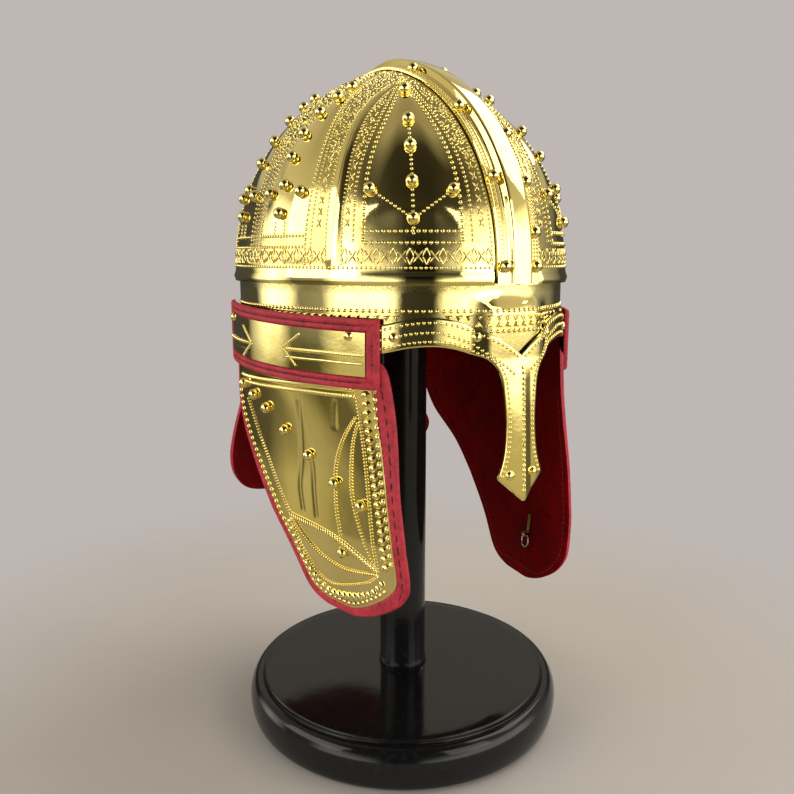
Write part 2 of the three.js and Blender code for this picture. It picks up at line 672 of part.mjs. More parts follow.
function add(name, finish, geometry) {
  const mesh = new THREE.Mesh(geometry, new THREE.MeshStandardMaterial(COLOURS[finish]));
  mesh.name = name;
  helmet.add(mesh);
}

add('stand_base', 'lacquer', standBase());
add('stand_post', 'lacquer', standPost());
add('ridge', 'brass', ridge());
add('base_band', 'brass', baseBand());
add('brow_nasal', 'brass', browNasal());
add('neck_leather', 'leather', neckLeather());
add('neck_plate', 'brass', neckPlate());
for (const [name, side] of Object.entries(SIDES)) {
  add(`bowl_${name}`, 'brass', bowlHalf(side));
  add(`temple_leather_${name}`, 'leather', templeLeather(side));
  add(`temple_plate_${name}`, 'brass', templePlate(side));
  add(`cheek_leather_${name}`, 'leather', cheekLeather(side));
  add(`cheek_plate_${name}`, 'brass', cheekPlate(side));
  add(`cheek_tab_${name}`, 'brass', cheekTab(side));
  add(`cheek_ring_${name}`, 'steel', cheekRing(side));
}

export default helmet;
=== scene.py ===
"""Looks of a ridge helmet on its stand: embossed brass, bound leather, black lacquer and studio light."""

import math
from functools import partial
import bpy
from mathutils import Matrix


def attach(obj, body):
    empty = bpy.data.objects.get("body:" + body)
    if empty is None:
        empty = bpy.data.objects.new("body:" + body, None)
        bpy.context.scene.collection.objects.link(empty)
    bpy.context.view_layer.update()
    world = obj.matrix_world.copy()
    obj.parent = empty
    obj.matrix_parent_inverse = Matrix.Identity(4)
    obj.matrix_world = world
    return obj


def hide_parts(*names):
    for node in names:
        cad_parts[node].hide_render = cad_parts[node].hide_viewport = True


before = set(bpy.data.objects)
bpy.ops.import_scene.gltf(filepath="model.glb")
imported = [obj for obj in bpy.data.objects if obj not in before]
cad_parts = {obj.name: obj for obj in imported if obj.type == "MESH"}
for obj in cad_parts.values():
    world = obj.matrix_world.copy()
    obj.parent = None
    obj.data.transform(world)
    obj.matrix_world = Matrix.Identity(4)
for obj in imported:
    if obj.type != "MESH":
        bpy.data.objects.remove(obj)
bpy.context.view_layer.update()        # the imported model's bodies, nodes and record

from types import SimpleNamespace as Sizes

import bpy
import numpy as np
from mathutils import Vector
from mathutils.geometry import delaunay_2d_cdt

RANDOM = np.random.default_rng(7)

# Sizes in millimetres and degrees. Heights of helmet pieces are measured from the bowl's rim.
MM = 0.001
GAP = 0.3
RIM_Z = 300.0
HELM_Y = 9.0
RIGHT, LEFT = -1, 1
SIDES = {"right": RIGHT, "left": LEFT}

BOWL = Sizes(a=119.5, b=101.5, height=132.3, rise=2.248, taper=1.596, wall=1.5, edge=2.0, top=131.7)
RIDGE = Sizes(box=7.0, flange=15.0, sheet=1.2, seat=0.5, low_top=4.0, high_top=5.5, rise_over=60.0)
BAND = Sizes(a=117.0, b=99.0, wall=1.5, tuck=5.0, bottom=-27.0, peak=-45.0, peak_deg=9.0)
BROW = Sizes(end=45.5, seat=0.5, wall=1.5, width=15.5)
NASAL = Sizes(crease=1.6, half=6.0, over=10.0, lean=0.045, lean_from=-40.0, tip=-121.0)
KEEL = Sizes(brow=5.0, band=4.6, half=30.0, over=16.0)
TEMPLE = Sizes(front=43.0, back=118.0, top=-18.0, bottom=-56.5, rise=5.0, seat=3.6, border=7.0, mm_deg=1.83)
CHEEK = Sizes(seat=0.75, bend_from=-30.0, bend_over=95.0, front=8.0, edge=5.0, top=-44.0)
CHEEK_PLAN = Sizes(widest=84.5, at=38.0, curve=0.00104, tuck=0.1, tuck_from=-150.0)
CHEEK_HANG = {RIGHT: (0.975, 0.975), LEFT: (1.0, 1.02)}
CHEEK_LOBE = Sizes(reach={RIGHT: 0.0, LEFT: 12.0}, start=-128.0, over=20.0)
NECK = Sizes(seat=0.8, flare_from=-30.0, flare=0.11, top=-34.0, bottom=-168.0, mm_deg=1.9, border=4.2)
LINING, SHEET, FOLD = 1.2, 0.8, 1.3
FACE = LINING + GAP + SHEET
TAB = Sizes(y=-60.0, top=-160.0, length=14.0, width=3.2, sheet=0.9, eye=2.2)
RING = Sizes(radius=4.6, wire=0.6, squash=0.85)
BASE = Sizes(height=30.0, foot=103.0, bulge=108.0, shoulder=101.0, top=98.0, bulge_at=14.0, step=2.6)
POST = Sizes(radius=16.0, foot=16.8, foot_height=5.0, head=24.0, head_rim=6.0, head_drop=7.0, head_top=127.4)

# Outlines. Cheek guard: height, front edge, back edge. Neck guard: height, half angle from the back.
CHEEK_EDGE = [
    (-21, -78, 66), (-38, -79, 69), (-41, -84, 69.5), (-46, -88.5, 70), (-64, -92, 69.5), (-86, -95.5, 64.5),
    (-107, -98.5, 54), (-128, -101.5, 39.5), (-152, -104.5, 18), (-171, -105, 1), (-180, -101, -6),
    (-188, -93, -11.5), (-195, -82, -17), (-200, -71, -24.5), (-203, -60, -36),
]
NECK_EDGE = [
    (-24, 31), (-34, 32), (-60, 36), (-92, 44), (-110, 50), (-124, 52.5), (-139, 48), (-153, 40), (-162, 33),
    (-168.5, 24), (-172, 14),
]
# Brow arms: angle from the front, height of the upper edge. Nasal: height, half width.
BROW_EDGE = [(0, -38), (6.2, -30.4), (16.5, -21.1), (25.6, -17.1), (34.2, -17.6), (41.4, -20.4), (45.5, -22)]
NASAL_EDGE = [(-39, 21), (-43.5, 16.5), (-50, 13.4), (-58, 12), (-75, 10.8), (-92, 12), (-106.4, 16.3)]


# Small numeric helpers

def unit(v):
    return v / np.linalg.norm(v, axis=-1, keepdims=True)


def ease(x):
    """A smooth step from 0 at 0 to 1 at 1."""
    x = np.clip(x, 0, 1)
    return x * x * (3 - 2 * x)


def hump(x, half):
    """A smooth bump of height 1 that falls to 0 at half either way."""
    return np.clip(1 - (np.asarray(x) / half) ** 2, 0, 1) ** 2


def plateau(x, half, edge):
    return ease((half - np.abs(x)) / edge)


def rounded(x):
    """A quarter round that rises from 0 at 0 to 1 at 1."""
    return np.sqrt(1 - (1 - np.clip(x, 0, 1)) ** 2)


def grids(*values):
    """Numbers and arrays, all spread to one shape."""
    return np.broadcast_arrays(*(np.asarray(k, float) for k in values))


def pairs(u, v):
    """Rows of two coordinates, either of which may be one number for all."""
    return np.stack(grids(u, v), -1)


def spline(points, count):
    """A smooth line through control points, as rows of coordinates."""
    p = np.asarray(points, float)
    p = np.vstack([2 * p[0] - p[1], p, 2 * p[-1] - p[-2]])
    t = np.linspace(0, len(points) - 1, count)
    i = np.minimum(t.astype(int), len(points) - 2)
    f = (t - i)[:, None]
    a, b, c, d = p[i], p[i + 1], p[i + 2], p[i + 3]
    return 0.5 * (2 * b + (c - a) * f + (2 * a - 5 * b + 4 * c - d) * f**2 + (3 * b - a - 3 * c + d) * f**3)


def falling(points, at, count=300):
    """The smooth line through (place, value) points whose places fall, read at other places."""
    place, value = spline(points, count).T
    return np.interp(-at, -place, value)


def travelled(points):
    """How far along a path each of its points is."""
    return np.concatenate([[0], np.cumsum(np.linalg.norm(np.diff(points, axis=0), axis=1))])


def wave(u, v, height):
    """Slow dents of hand-beaten sheet."""
    return height * (np.sin(u / 7.3 + 1.3 * np.sin(v / 31)) + 0.7 * np.sin(v / 17 + u / 41 + 1.1))


# Curved surfaces: each takes arrays of two coordinates and a lift, and gives points and normals

def helm(x, y, z):
    """Points by their distance from the helmet's middle and rim."""
    return np.stack([x, y + HELM_Y, z + RIM_Z], -1)


def on_surface(place, outward):
    """The surface with points place(u, v), whose normal is turned to the outward side."""
    step = 0.2

    def surface(u, v, lift=0.0):
        u, v, lift = grids(u, v, lift)
        along = place(u + step, v) - place(u - step, v)
        normal = unit(np.cross(along, place(u, v + step) - place(u, v - step))) * outward
        return place(u, v) + normal * lift[..., None], normal
    return surface


def raised(surface, by):
    """A surface's face, lifted off it."""
    def face(u, v, lift=0.0):
        return surface(u, v, by + lift)
    return face


def bowl_scale(h):
    return (1 - np.clip(h / BOWL.height, 0, 1) ** BOWL.rise) ** (1 / BOWL.taper)


def bowl_normal(x, y, h):
    step = 0.01
    slope = (bowl_scale(h + step) ** 2 - bowl_scale(h - step) ** 2) / (2 * step)
    return unit(np.stack([2 * x / BOWL.b**2, 2 * y / BOWL.a**2, -slope], -1))


def on_bowl(side, deg, h, lift=0.0):
    deg, h, lift = grids(deg, h, lift)
    x = side * BOWL.b * bowl_scale(h) * np.sin(np.radians(deg))
    y = -BOWL.a * bowl_scale(h) * np.cos(np.radians(deg))
    normal = bowl_normal(x, y, h)
    return helm(x, y, h) + normal * lift[..., None], normal


def deg_at_x(x, h):
    return np.degrees(np.arcsin(np.clip(x / (BOWL.b * bowl_scale(h)), 0, 1)))


def deg_at_y(y, h):
    return np.degrees(np.arccos(np.clip(y / (BOWL.a * bowl_scale(h)), -1, 1)))


def deg_per_mm(deg, h):
    turn = np.radians(deg)
    return np.degrees(1 / (bowl_scale(h) * np.hypot(BOWL.a * np.sin(turn), BOWL.b * np.cos(turn))))


def band_place(lift):
    """The band's upright wall by degrees from the front towards the wearer's left, and height."""
    def place(deg, z):
        turn = np.radians(deg)
        return helm((BAND.b + lift) * np.sin(turn), -(BAND.a + lift) * np.cos(turn), z)
    return place


def brow_place(x, z):
    """The band's front by distance to the side and height: a keel, and a leaning, creased nasal below."""
    keel = KEEL.brow * plateau(x, KEEL.half, KEEL.over)
    below = np.maximum(0, NASAL.lean_from - z)
    crease = NASAL.crease * np.clip(1 - np.abs(x) / NASAL.half, 0, 1) * np.clip(below / NASAL.over, 0, 1)
    return helm(x, -BAND.a * np.sqrt(1 - (x / BAND.b) ** 2) - keel - below * NASAL.lean - crease, z)


def temple_rise(deg):
    return TEMPLE.rise * (deg - TEMPLE.front) / (TEMPLE.back - TEMPLE.front)


def temple_place(side):
    """A temple tray by distance behind its front end and below its top."""
    def place(along, down):
        deg = TEMPLE.front + along / TEMPLE.mm_deg
        return band_place(TEMPLE.seat)(side * deg, TEMPLE.top - down + temple_rise(deg))
    return place


def cheek_place(side):
    """A cheek guard by distance behind the helmet's middle and height: round at the band, flatter below."""
    upper_hang, tip_hang = CHEEK_HANG[side]

    def place(y, z):
        upper = (BAND.b + CHEEK.seat) * np.sqrt(np.maximum(0, 1 - (y / (BAND.a + CHEEK.seat)) ** 2))
        tuck = CHEEK_PLAN.tuck * np.maximum(0, CHEEK_PLAN.tuck_from - z)
        lower = CHEEK_PLAN.widest - CHEEK_PLAN.curve * (y - CHEEK_PLAN.at) ** 2 - tuck
        blend = ease((CHEEK.bend_from - z) / CHEEK.bend_over)
        hang = upper_hang + (tip_hang - upper_hang) * (z / CHEEK_EDGE[-1][0]) ** 4
        return helm(side * (upper + (lower - upper) * blend), y, z * hang)
    return place


def neck_place(along, z):
    lift = NECK.seat + NECK.flare * np.maximum(0, NECK.flare_from - z)
    return band_place(lift)(180 + along / NECK.mm_deg, z)


ON_BROW = on_surface(brow_place, 1)
ON_BAND = on_surface(band_place(0.0), 1)
ON_NECK = on_surface(neck_place, 1)
ON_TEMPLE = {side: on_surface(temple_place(side), -side) for side in SIDES.values()}
ON_CHEEK = {side: on_surface(cheek_place(side), side) for side in SIDES.values()}


# Meshes gathered from arrays

def show(name, data):
    """A new object in the scene."""
    made = bpy.data.objects.new(name, data)
    bpy.context.scene.collection.objects.link(made)
    return made


class Piece:
    """Points and faces of one piece, gathered in millimetres and made into one object in metres."""

    def __init__(self):
        self.points, self.grime, self.faces, self.paints = [], [], [], []
        self.count = 0

    def add(self, points, *groups, grime=0.0):
        """Points, with painted shade at each, and groups of faces between them, each with the number of its
        material.
        """
        points = np.asarray(points, float).reshape(-1, 3)
        self.points.append(points)
        self.grime.append(np.broadcast_to(np.ravel(grime), len(points)))
        for faces, paint in groups:
            self.faces.extend((faces + self.count).tolist())
            self.paints.extend([paint] * len(faces))
        self.count += len(points)

    def make(self, node, word, materials, sharp=38.0):
        """The object that stands for a node, named after it and after how it is made."""
        name = f"{node}_{word}"
        mesh = bpy.data.meshes.new(name)
        mesh.from_pydata((np.vstack(self.points) * MM).tolist(), [], self.faces)
        for material in materials:
            mesh.materials.append(material)
        mesh.polygons.foreach_set("material_index", self.paints)
        mesh.polygons.foreach_set("use_smooth", [True] * len(self.faces))
        # Each point's painted shade, kept as an attribute that darkens the brass colour.
        mesh.attributes.new("grime", "FLOAT", "POINT").data.foreach_set("value", np.concatenate(self.grime))
        mesh.set_sharp_from_angle(angle=math.radians(sharp))
        mesh.update()
        piece = show(name, mesh)
        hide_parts(node)
        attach(piece, "root")


def turned(profile, sides):
    """A closed form turned about the up axis from (radius, height) pairs that start and end on the axis."""
    k = np.arange(sides)
    after = (k + 1) % sides
    angle = k * 2 * np.pi / sides
    rings = [np.stack(grids(r * np.cos(angle), r * np.sin(angle), z), 1) for r, z in profile[1:-1]]
    points = np.vstack([[[0, 0, profile[0][1]]], *rings, [[0, 0, profile[-1][1]]]])
    faces = [np.stack([0 * k, 1 + after, 1 + k], 1)]
    for low in 1 + sides * np.arange(len(rings) - 1):
        high = low + sides
        faces.append(np.stack([low + k, low + after, high + after], 1))
        faces.append(np.stack([low + k, high + after, high + k], 1))
    last = len(points) - 1
    faces.append(np.stack([last - sides + k, last - sides + after, np.full(sides, last)], 1))
    return points, np.vstack(faces)


# Forms that are struck or riveted on the sheet: they lie along x and stand up along z
BEAD = turned([(0, -0.35), (1, -0.35), (0.93, 0.4), (0.55, 0.85), (0, 1)], 7)
STROKE = turned([(0, -0.4), (1, -0.4), (0.85, 0.45), (0.4, 0.9), (0, 1)], 8)
WEDGE = turned([(0, -0.35), (1, -0.35), (0.72, 0.6), (0.3, 0.95), (0, 1)], 3)
STUD = turned([
    (0, -0.6), (3.0, -0.6), (2.95, 0.1), (3.3, 0.45), (3.5, 1.3), (3.37, 2.25), (2.95, 3.2), (2.2, 4.05),
    (1.2, 4.6), (0, 4.8),
], 16)
RIVET = turned([(0, -0.5), (2.8, -0.5), (2.7, 0.35), (2.2, 1.15), (1.3, 1.65), (0, 1.85)], 14)


def stamp(piece, form, points, tangents, normals, size, spin, paint=0):
    """Copies of a form on a surface: half length, half width and height, each turned about its normal."""
    shape, faces = form
    across = unit(np.cross(normals, tangents))
    along = np.cross(across, normals)
    turn = np.broadcast_to(np.radians(spin), len(points))[:, None]
    first = np.cos(turn) * along + np.sin(turn) * across
    second = np.cos(turn) * across - np.sin(turn) * along
    local = shape * np.broadcast_to(np.asarray(size, float), (len(points), 3))[:, None]
    copies = points[:, None] + local @ np.stack([first, second, normals], 1)
    index = faces + (np.arange(len(points)) * len(shape))[:, None, None]
    piece.add(copies, (index.reshape(-1, 3), paint))


def run(surface, line, pitch):
    """Evenly spaced places on a line drawn on a surface: points, directions along it and normals."""
    u, v = np.asarray(line, float).T
    length = travelled(surface(u, v)[0])
    count = max(2, round(length[-1] / pitch))
    at = (np.arange(count) + 0.5) / count * length[-1]
    points, normals = surface(np.interp(at, length, u), np.interp(at, length, v))
    return points, unit(np.gradient(points, axis=0)), normals


def row(piece, surface, line, pitch, size, form=BEAD, spin=0.0, paint=0, keep=None):
    """A row of struck forms along a line."""
    places = run(surface, line, pitch)
    if keep:
        chosen = keep(places[0])
        places = [k[chosen] for k in places]
    stamp(piece, form, *places, size, spin, paint)


def spots(piece, surface, places, form, size=(1, 1, 1), spin=0.0):
    """Forms at single places on a surface."""
    points, normals = surface(*np.asarray(places, float).T)
    tangents = np.cross(normals, [0.0, 0.0, 1.0])
    tangents[np.linalg.norm(tangents, axis=1) < 1e-3] = [1.0, 0.0, 0.0]
    stamp(piece, form, points, unit(tangents), normals, size, spin)


def grid_faces(rows, columns):
    i, j = np.meshgrid(np.arange(rows - 1), np.arange(columns - 1), indexing="ij")
    a = (i * columns + j).ravel()
    return np.stack([a, a + 1, a + columns + 1, a + columns], 1)


def rib(piece, surface, line, half, height, step=1.5, paint=0):
    """A raised half-round line, with its edges sunk by a quarter of its height."""
    points, tangents, normals = (k[:, None] for k in run(surface, line, step))
    turn = np.radians(np.arange(-90, 91, 30))[:, None]
    across = np.cross(normals, tangents) * half * np.sin(turn)
    sections = points + across + normals * height * (1.25 * np.cos(turn) - 0.25)
    piece.add(sections, (grid_faces(len(points), len(turn)), paint))


def shell(piece, outer, inner, lining=0, grime=0.0, flip=False):
    """A closed sheet between two facing grids of points, with another material inside where it is lined, and
    painted shade on its outer face.
    """
    rows, columns = outer.shape[:2]
    count = rows * columns
    top = grid_faces(rows, columns)
    edge = np.concatenate([
        np.arange(columns), np.arange(2, rows + 1) * columns - 1,
        count - 2 - np.arange(columns - 1), np.arange(rows - 2, -1, -1) * columns,
    ])
    wall = np.stack([edge[:-1], edge[:-1] + count, edge[1:] + count, edge[1:]], 1)
    groups = [(top, 0), (top[:, ::-1] + count, lining), (wall, 0)]
    if flip:
        groups = [(faces[:, ::-1], k) for faces, k in groups]
    grime = np.concatenate([np.broadcast_to(grime, (rows, columns)).ravel(), np.zeros(count)])
    piece.add(np.stack([outer, inner]), *groups, grime=grime)


def wrap(piece, surface, u, v, over, under, **options):
    """A closed sheet on a surface, between two lifts off it."""
    shell(piece, surface(u, v, over)[0], surface(u, v, under)[0], **options)


# Flat outlines, and sheets cut to them

def even(path, pitch):
    """A closed path's points at equal steps."""
    path = np.vstack([path, path[:1]])
    length = travelled(path)
    count = round(length[-1] / pitch)
    at = np.arange(count) / count * length[-1]
    return pairs(*(np.interp(at, length, k) for k in path.T))


def rounded_corners(outline, reach=3):
    """An outline with its corners eased by a running mean, of reach points either way."""
    path = even(outline, 1.0)
    return sum(np.roll(path, k, 0) for k in range(-reach, reach + 1)) / (2 * reach + 1)


def opened(path):
    """What is left of a closed path, from one side of its widest gap to the other."""
    gap = np.linalg.norm(np.roll(path, -1, 0) - path, axis=1)
    return np.roll(path, -np.argmax(gap) - 1, 0)


def inward(path, reach):
    """Directions square to a closed path, towards its inside."""
    tangent = np.roll(path, -reach, 0) - np.roll(path, reach, 0)
    area = np.sum(path[:, 0] * np.roll(path[:, 1], -1) - np.roll(path[:, 0], -1) * path[:, 1])
    return unit(pairs(-tangent[:, 1], tangent[:, 0])) * np.sign(area)


def inside(points, polygon):
    """Which points lie inside a polygon."""
    x, y = points.T
    a, b = polygon, np.roll(polygon, -1, 0)
    between = (a[:, 1] > y[:, None]) != (b[:, 1] > y[:, None])
    slope = (b[:, 0] - a[:, 0]) / np.where(b[:, 1] == a[:, 1], 1e-9, b[:, 1] - a[:, 1])
    left = x[:, None] < slope * (y[:, None] - a[:, 1]) + a[:, 0]
    return (between & left).sum(1) % 2 == 1


def distance(points, polygon):
    """Distances from points to a polygon's edge, worked out a few at a time to save memory."""
    step = np.roll(polygon, -1, 0) - polygon
    some = 2000
    out = []
    for start in range(0, len(points), some):
        offset = points[start : start + some, None] - polygon
        share = np.clip((offset * step).sum(-1) / np.maximum((step * step).sum(-1), 1e-9), 0, 1)
        out.append(np.linalg.norm(offset - share[..., None] * step, axis=-1).min(1))
    return np.concatenate(out)


def cut(outline, pitch, insets):
    """Flat triangles that fill an outline, with rings of points at the insets from its edge."""
    edge = even(outline, pitch)
    square = inward(edge, 1)
    layers = [edge]
    for inset in insets:
        ring = edge + square * inset
        layers.append(ring[inside(ring, edge) & (distance(ring, edge) > 0.93 * inset)])
    low, high = edge.min(0), edge.max(0)
    rows = np.arange(low[1], high[1], pitch * 0.87)
    lattice = np.vstack([
        pairs(np.arange(low[0] + k % 2 * pitch / 2, high[0], pitch), v) for k, v in enumerate(rows)
    ])
    lattice = lattice[inside(lattice, edge)]
    layers.append(lattice[distance(lattice, edge) > insets[-1] + pitch * 0.5])
    flat = [Vector(p) for p in np.vstack(layers).tolist()]
    points, _, faces, *_ = delaunay_2d_cdt(flat, [], [list(range(len(edge)))], 1, 1e-4)
    return np.array([tuple(p) for p in points]), np.array(faces), edge


def sheet(piece, flat, faces, surface, over, under, paints=(0, 0, 0)):
    """A cut sheet wrapped on a surface: lifts of both sides, and materials of outside, inside and edge."""
    top, bottom = (surface(*flat.T, lift)[0] for lift in (over, under))
    first, second, third = (top[faces[:, k]] for k in range(3))
    if np.sum(np.cross(second - first, third - first) * (top - bottom)[faces[:, 0]]) < 0:
        faces = faces[:, ::-1]
    n = len(flat)
    edges = faces[:, [[0, 1], [1, 2], [2, 0]]].reshape(-1, 2)
    rim = edges[~np.isin(edges[:, 0] * n + edges[:, 1], edges[:, 1] * n + edges[:, 0])]
    walls = np.stack([rim[:, 1], rim[:, 0], rim[:, 0] + n, rim[:, 1] + n], 1)
    piece.add(np.vstack([top, bottom]), *zip((faces, faces[:, ::-1] + n, walls), paints))


def bound_sheet(piece, outline, window, surface, pitch, top, paints, groove=0.0):
    """Leather with a border that is folded over its edge, up to a height and round a plate's window."""
    flat, faces, edge = cut(outline, pitch, (0.3, 0.9, 1.6))
    depth, reach = distance(flat, edge), distance(flat, window)
    valley = groove * hump((depth - reach) / 2, 0.8) * (depth + reach > 5.5)
    below = ease((top - flat[:, 1]) / 2) * ~inside(flat, window)
    fold = rounded(depth / 1.5) * rounded(reach / 0.8) * below
    over = LINING * (0.35 + 0.65 * rounded(depth / 1.2)) + fold * (FOLD - valley + 0.3)
    sheet(piece, flat, faces, surface, over, 0.5 * (1 - rounded(depth / 1.5)), paints)


def plate_sheet(piece, outline, surface, pitch, relief):
    """A brass plate with a rounded edge, over the lining, and with a relief that fades out at the edge."""
    flat, faces, edge = cut(outline, pitch, (0.4, 1.0))
    rim = distance(flat, edge)
    over = FACE - 0.35 * (1 - rounded(rim / 0.9)) + relief(*flat.T) * ease(rim / 6)
    sheet(piece, flat, faces, surface, over, LINING + GAP)


# Materials

class Nodes:
    """A short way to write the nodes of a material or a world."""

    def __init__(self, owner):
        owner.use_nodes = True
        self.owner = owner
        self.tree = owner.node_tree

    def set(self, socket, value):
        """Gives an input a value, or another node's output."""
        if isinstance(value, bpy.types.NodeSocket):
            self.tree.links.new(value, socket)
        else:
            socket.default_value = (*value, 1) if socket.type == "RGBA" else value

    def node(self, kind, settings=(), **inputs):
        made = self.tree.nodes.new(kind)
        for key, value in dict(settings).items():
            setattr(made, key, value)
        for key, value in inputs.items():
            self.set(made.inputs[key.replace("_", " ")], value)
        return made

    def place(self, kind="Object"):
        return self.node("ShaderNodeTexCoord").outputs[kind]

    def noise(self, scale, detail=3.0, rough=0.55):
        inputs = {"Scale": scale, "Detail": detail, "Roughness": rough, "Vector": self.place()}
        return self.node("ShaderNodeTexNoise", **inputs).outputs["Fac"]

    def ramp(self, value, stops):
        made = self.node("ShaderNodeValToRGB", Fac=value)
        elements = made.color_ramp.elements
        while len(elements) < len(stops):
            elements.new(0.5)
        for element, (at, colour) in zip(elements, stops):
            element.position = at
            element.color = (*colour, 1) if isinstance(colour, tuple) else (colour, colour, colour, 1)
        return made.outputs["Color"]

    def mix(self, share, first, second, blend="MIX"):
        made = self.node("ShaderNodeMix", {"data_type": "RGBA", "blend_type": blend})
        for index, value in ((0, share), (6, first), (7, second)):
            self.set(made.inputs[index], value)
        return made.outputs[2]

    def maths(self, operation, first, second, kind="ShaderNodeMath"):
        made = self.node(kind, {"operation": operation})
        self.set(made.inputs[0], first)
        self.set(made.inputs[1], second)
        return made.outputs["Value"]

    def dot(self, first, second):
        return self.maths("DOT_PRODUCT", first, second, "ShaderNodeVectorMath")

    def share(self, value, low, high, style="LINEAR"):
        """How far a value is from a low one to a high one."""
        settings = {"interpolation_type": style}
        made = self.node("ShaderNodeMapRange", settings, Value=value, From_Min=low, From_Max=high)
        return made.outputs["Result"]

    def bump(self, height, depth, strength=1.0, **under):
        made = self.node("ShaderNodeBump", Strength=strength, Distance=depth, Height=height, **under)
        return made.outputs["Normal"]

    def blend(self, share, first, second, output):
        """Mixes two shaders into an output."""
        made = self.node("ShaderNodeMixShader")
        for socket, value in zip(made.inputs, (share, first, second)):
            self.set(socket, value)
        self.set(self.tree.nodes[output].inputs[0], made.outputs[0])

    def finish(self, **inputs):
        for key, value in inputs.items():
            self.set(self.tree.nodes["Principled BSDF"].inputs[key.replace("_", " ")], value)
        return self.owner


def new_material(name):
    return Nodes(bpy.data.materials.new(name))


def times(colour, k):
    return tuple(c * k for c in colour)


def brass(name, tint):
    n = new_material(name)
    cloud = n.ramp(n.noise(28.0, 4.0), [(0.35, 0.0), (0.7, 1.0)])
    pale = tuple(min(1.0, c * k) for c, k in zip(tint, (1.08, 1.1, 1.3)))
    # Painted shade: where the attribute is high the colour goes towards dark olive-brown, broken up by fine
    # specks, and the surface grows rougher.
    grime = n.node("ShaderNodeAttribute", {"attribute_name": "grime"}).outputs["Fac"]
    speck = n.ramp(n.noise(900.0, 3.0, 0.7), [(0.35, 0.25), (0.7, 1.0)])
    dark = n.maths("MULTIPLY", grime, speck)
    colour = n.mix(dark, n.mix(cloud, tint, pale), (0.20, 0.14, 0.035))
    smear = n.ramp(n.noise(55.0, 5.0, 0.7), [(0.3, 0.03), (0.75, 0.085)])
    rough = n.maths("ADD", smear, n.maths("MULTIPLY", dark, 0.25))
    slow = n.bump(n.noise(42.0, 1.0), 0.00022)
    fine = n.bump(n.noise(420.0, 3.0), 0.00003, 0.6, Normal=slow)
    return n.finish(Base_Color=colour, Metallic=1.0, Roughness=rough, Normal=fine)


def leather(name, deep, light, rough=(0.42, 0.62), grain=0.00022, gloss=0.32):
    n = new_material(name)
    blotch = n.noise(60.0, 4.0, 0.6)
    cells = n.node("ShaderNodeTexVoronoi", {"feature": "DISTANCE_TO_EDGE"}, Scale=950.0, Vector=n.place())
    pores = n.ramp(cells.outputs["Distance"], [(0.0, 0.0), (0.22, 1.0)])
    crease = n.noise(330.0, 6.0, 0.65)
    colour = n.mix(n.ramp(blotch, [(0.3, 0.0), (0.72, 1.0)]), deep, light)
    # Painted shade: the colour is darkened in the low parts of the creases, where the bump sinks the
    # surface.
    colour = n.mix(n.ramp(crease, [(0.36, 0.55), (0.52, 0.0)]), colour, times(deep, 0.45))
    height = n.maths("ADD", n.maths("MULTIPLY", pores, 0.5), crease)
    shine = n.ramp(blotch, [(0.3, rough[0]), (0.7, rough[1])])
    normal = n.bump(height, grain, 0.8)
    return n.finish(Base_Color=colour, Roughness=shine, Specular_IOR_Level=gloss, Normal=normal)


def thread(name, colour):
    n = new_material(name)
    twist = n.noise(1500.0, 2.0)
    shade = n.mix(n.ramp(twist, [(0.3, 0.0), (0.7, 1.0)]), times(colour, 0.5), colour)
    return n.finish(Base_Color=shade, Roughness=0.8, Normal=n.bump(twist, 0.0001))


def lacquer(name):
    n = new_material(name)
    dust = n.ramp(n.noise(260.0, 6.0, 0.7), [(0.5, 0.0), (0.8, 1.0)])
    colour = n.mix(dust, (0.006, 0.006, 0.0065), (0.016, 0.0155, 0.015))
    rough = n.ramp(n.noise(24.0, 5.0, 0.65), [(0.3, 0.07), (0.75, 0.17)])
    ripple = n.bump(n.noise(70.0, 3.0), 0.00006)
    return n.finish(Base_Color=colour, Roughness=rough, Specular_IOR_Level=0.32, Normal=ripple)


def steel(name):
    n = new_material(name)
    rough = n.ramp(n.noise(400.0, 4.0), [(0.3, 0.18), (0.7, 0.38)])
    colour = n.mix(n.noise(150.0), (0.62, 0.62, 0.63), (0.8, 0.8, 0.8))
    return n.finish(Base_Color=colour, Metallic=1.0, Roughness=rough)


BRASS = brass("polished brass", (0.86, 0.715, 0.25))
BRASS_DULL = brass("brass strip", (0.42, 0.30, 0.10))
LEATHER = leather("crimson leather", (0.40, 0.020, 0.037), (0.62, 0.042, 0.068))
SUEDE = leather("dark red lining", (0.15, 0.001, 0.002), (0.28, 0.002, 0.004), (0.7, 0.9), 0.0001, 0.06)
EDGE = leather("red leather edge", (0.42, 0.015, 0.025), (0.58, 0.03, 0.04), (0.38, 0.55))
THREAD = thread("dark thread", (0.05, 0.012, 0.016))
SEAM_THREAD = thread("lining thread", (0.30, 0.05, 0.05))
LACQUER = lacquer("black lacquer")
STEEL = steel("bright steel")


# The bowl's two halves: two arched panels in each quarter, and a seam strip between them

WIDE = Sizes(deg=33.5, half=14.5, spring=45.0, apex=116.0)
SIDE = Sizes(half=10.2, spring=55.0, apex=124.0)
SEAM_HALF = 2.0
FLOOR_LINES = (22.5, 28.5)
FRIEZE = Sizes(middle=15.5, bead=9.4, pitch=9.0, mm_deg=1.9, spans=((11.0, 53.5), (60.0, 89.5)))
GRAVEL_FROM = 66.0

# Studs of one quarter: angle from the front, height.
WIDE_STUDS = [(33.5, 107), (33.5, 88), (33.5, 73), (33.5, 54), (46.3, 50.5), (21, 50), (33.5, 35)]
SIDE_STUDS = [
    (67, 112), (71.5, 106), (76, 96.5), (78, 84), (78.5, 70.5), (77.5, 54.5), (84.5, 50.5), (70, 50.5),
    (77.5, 39),
]
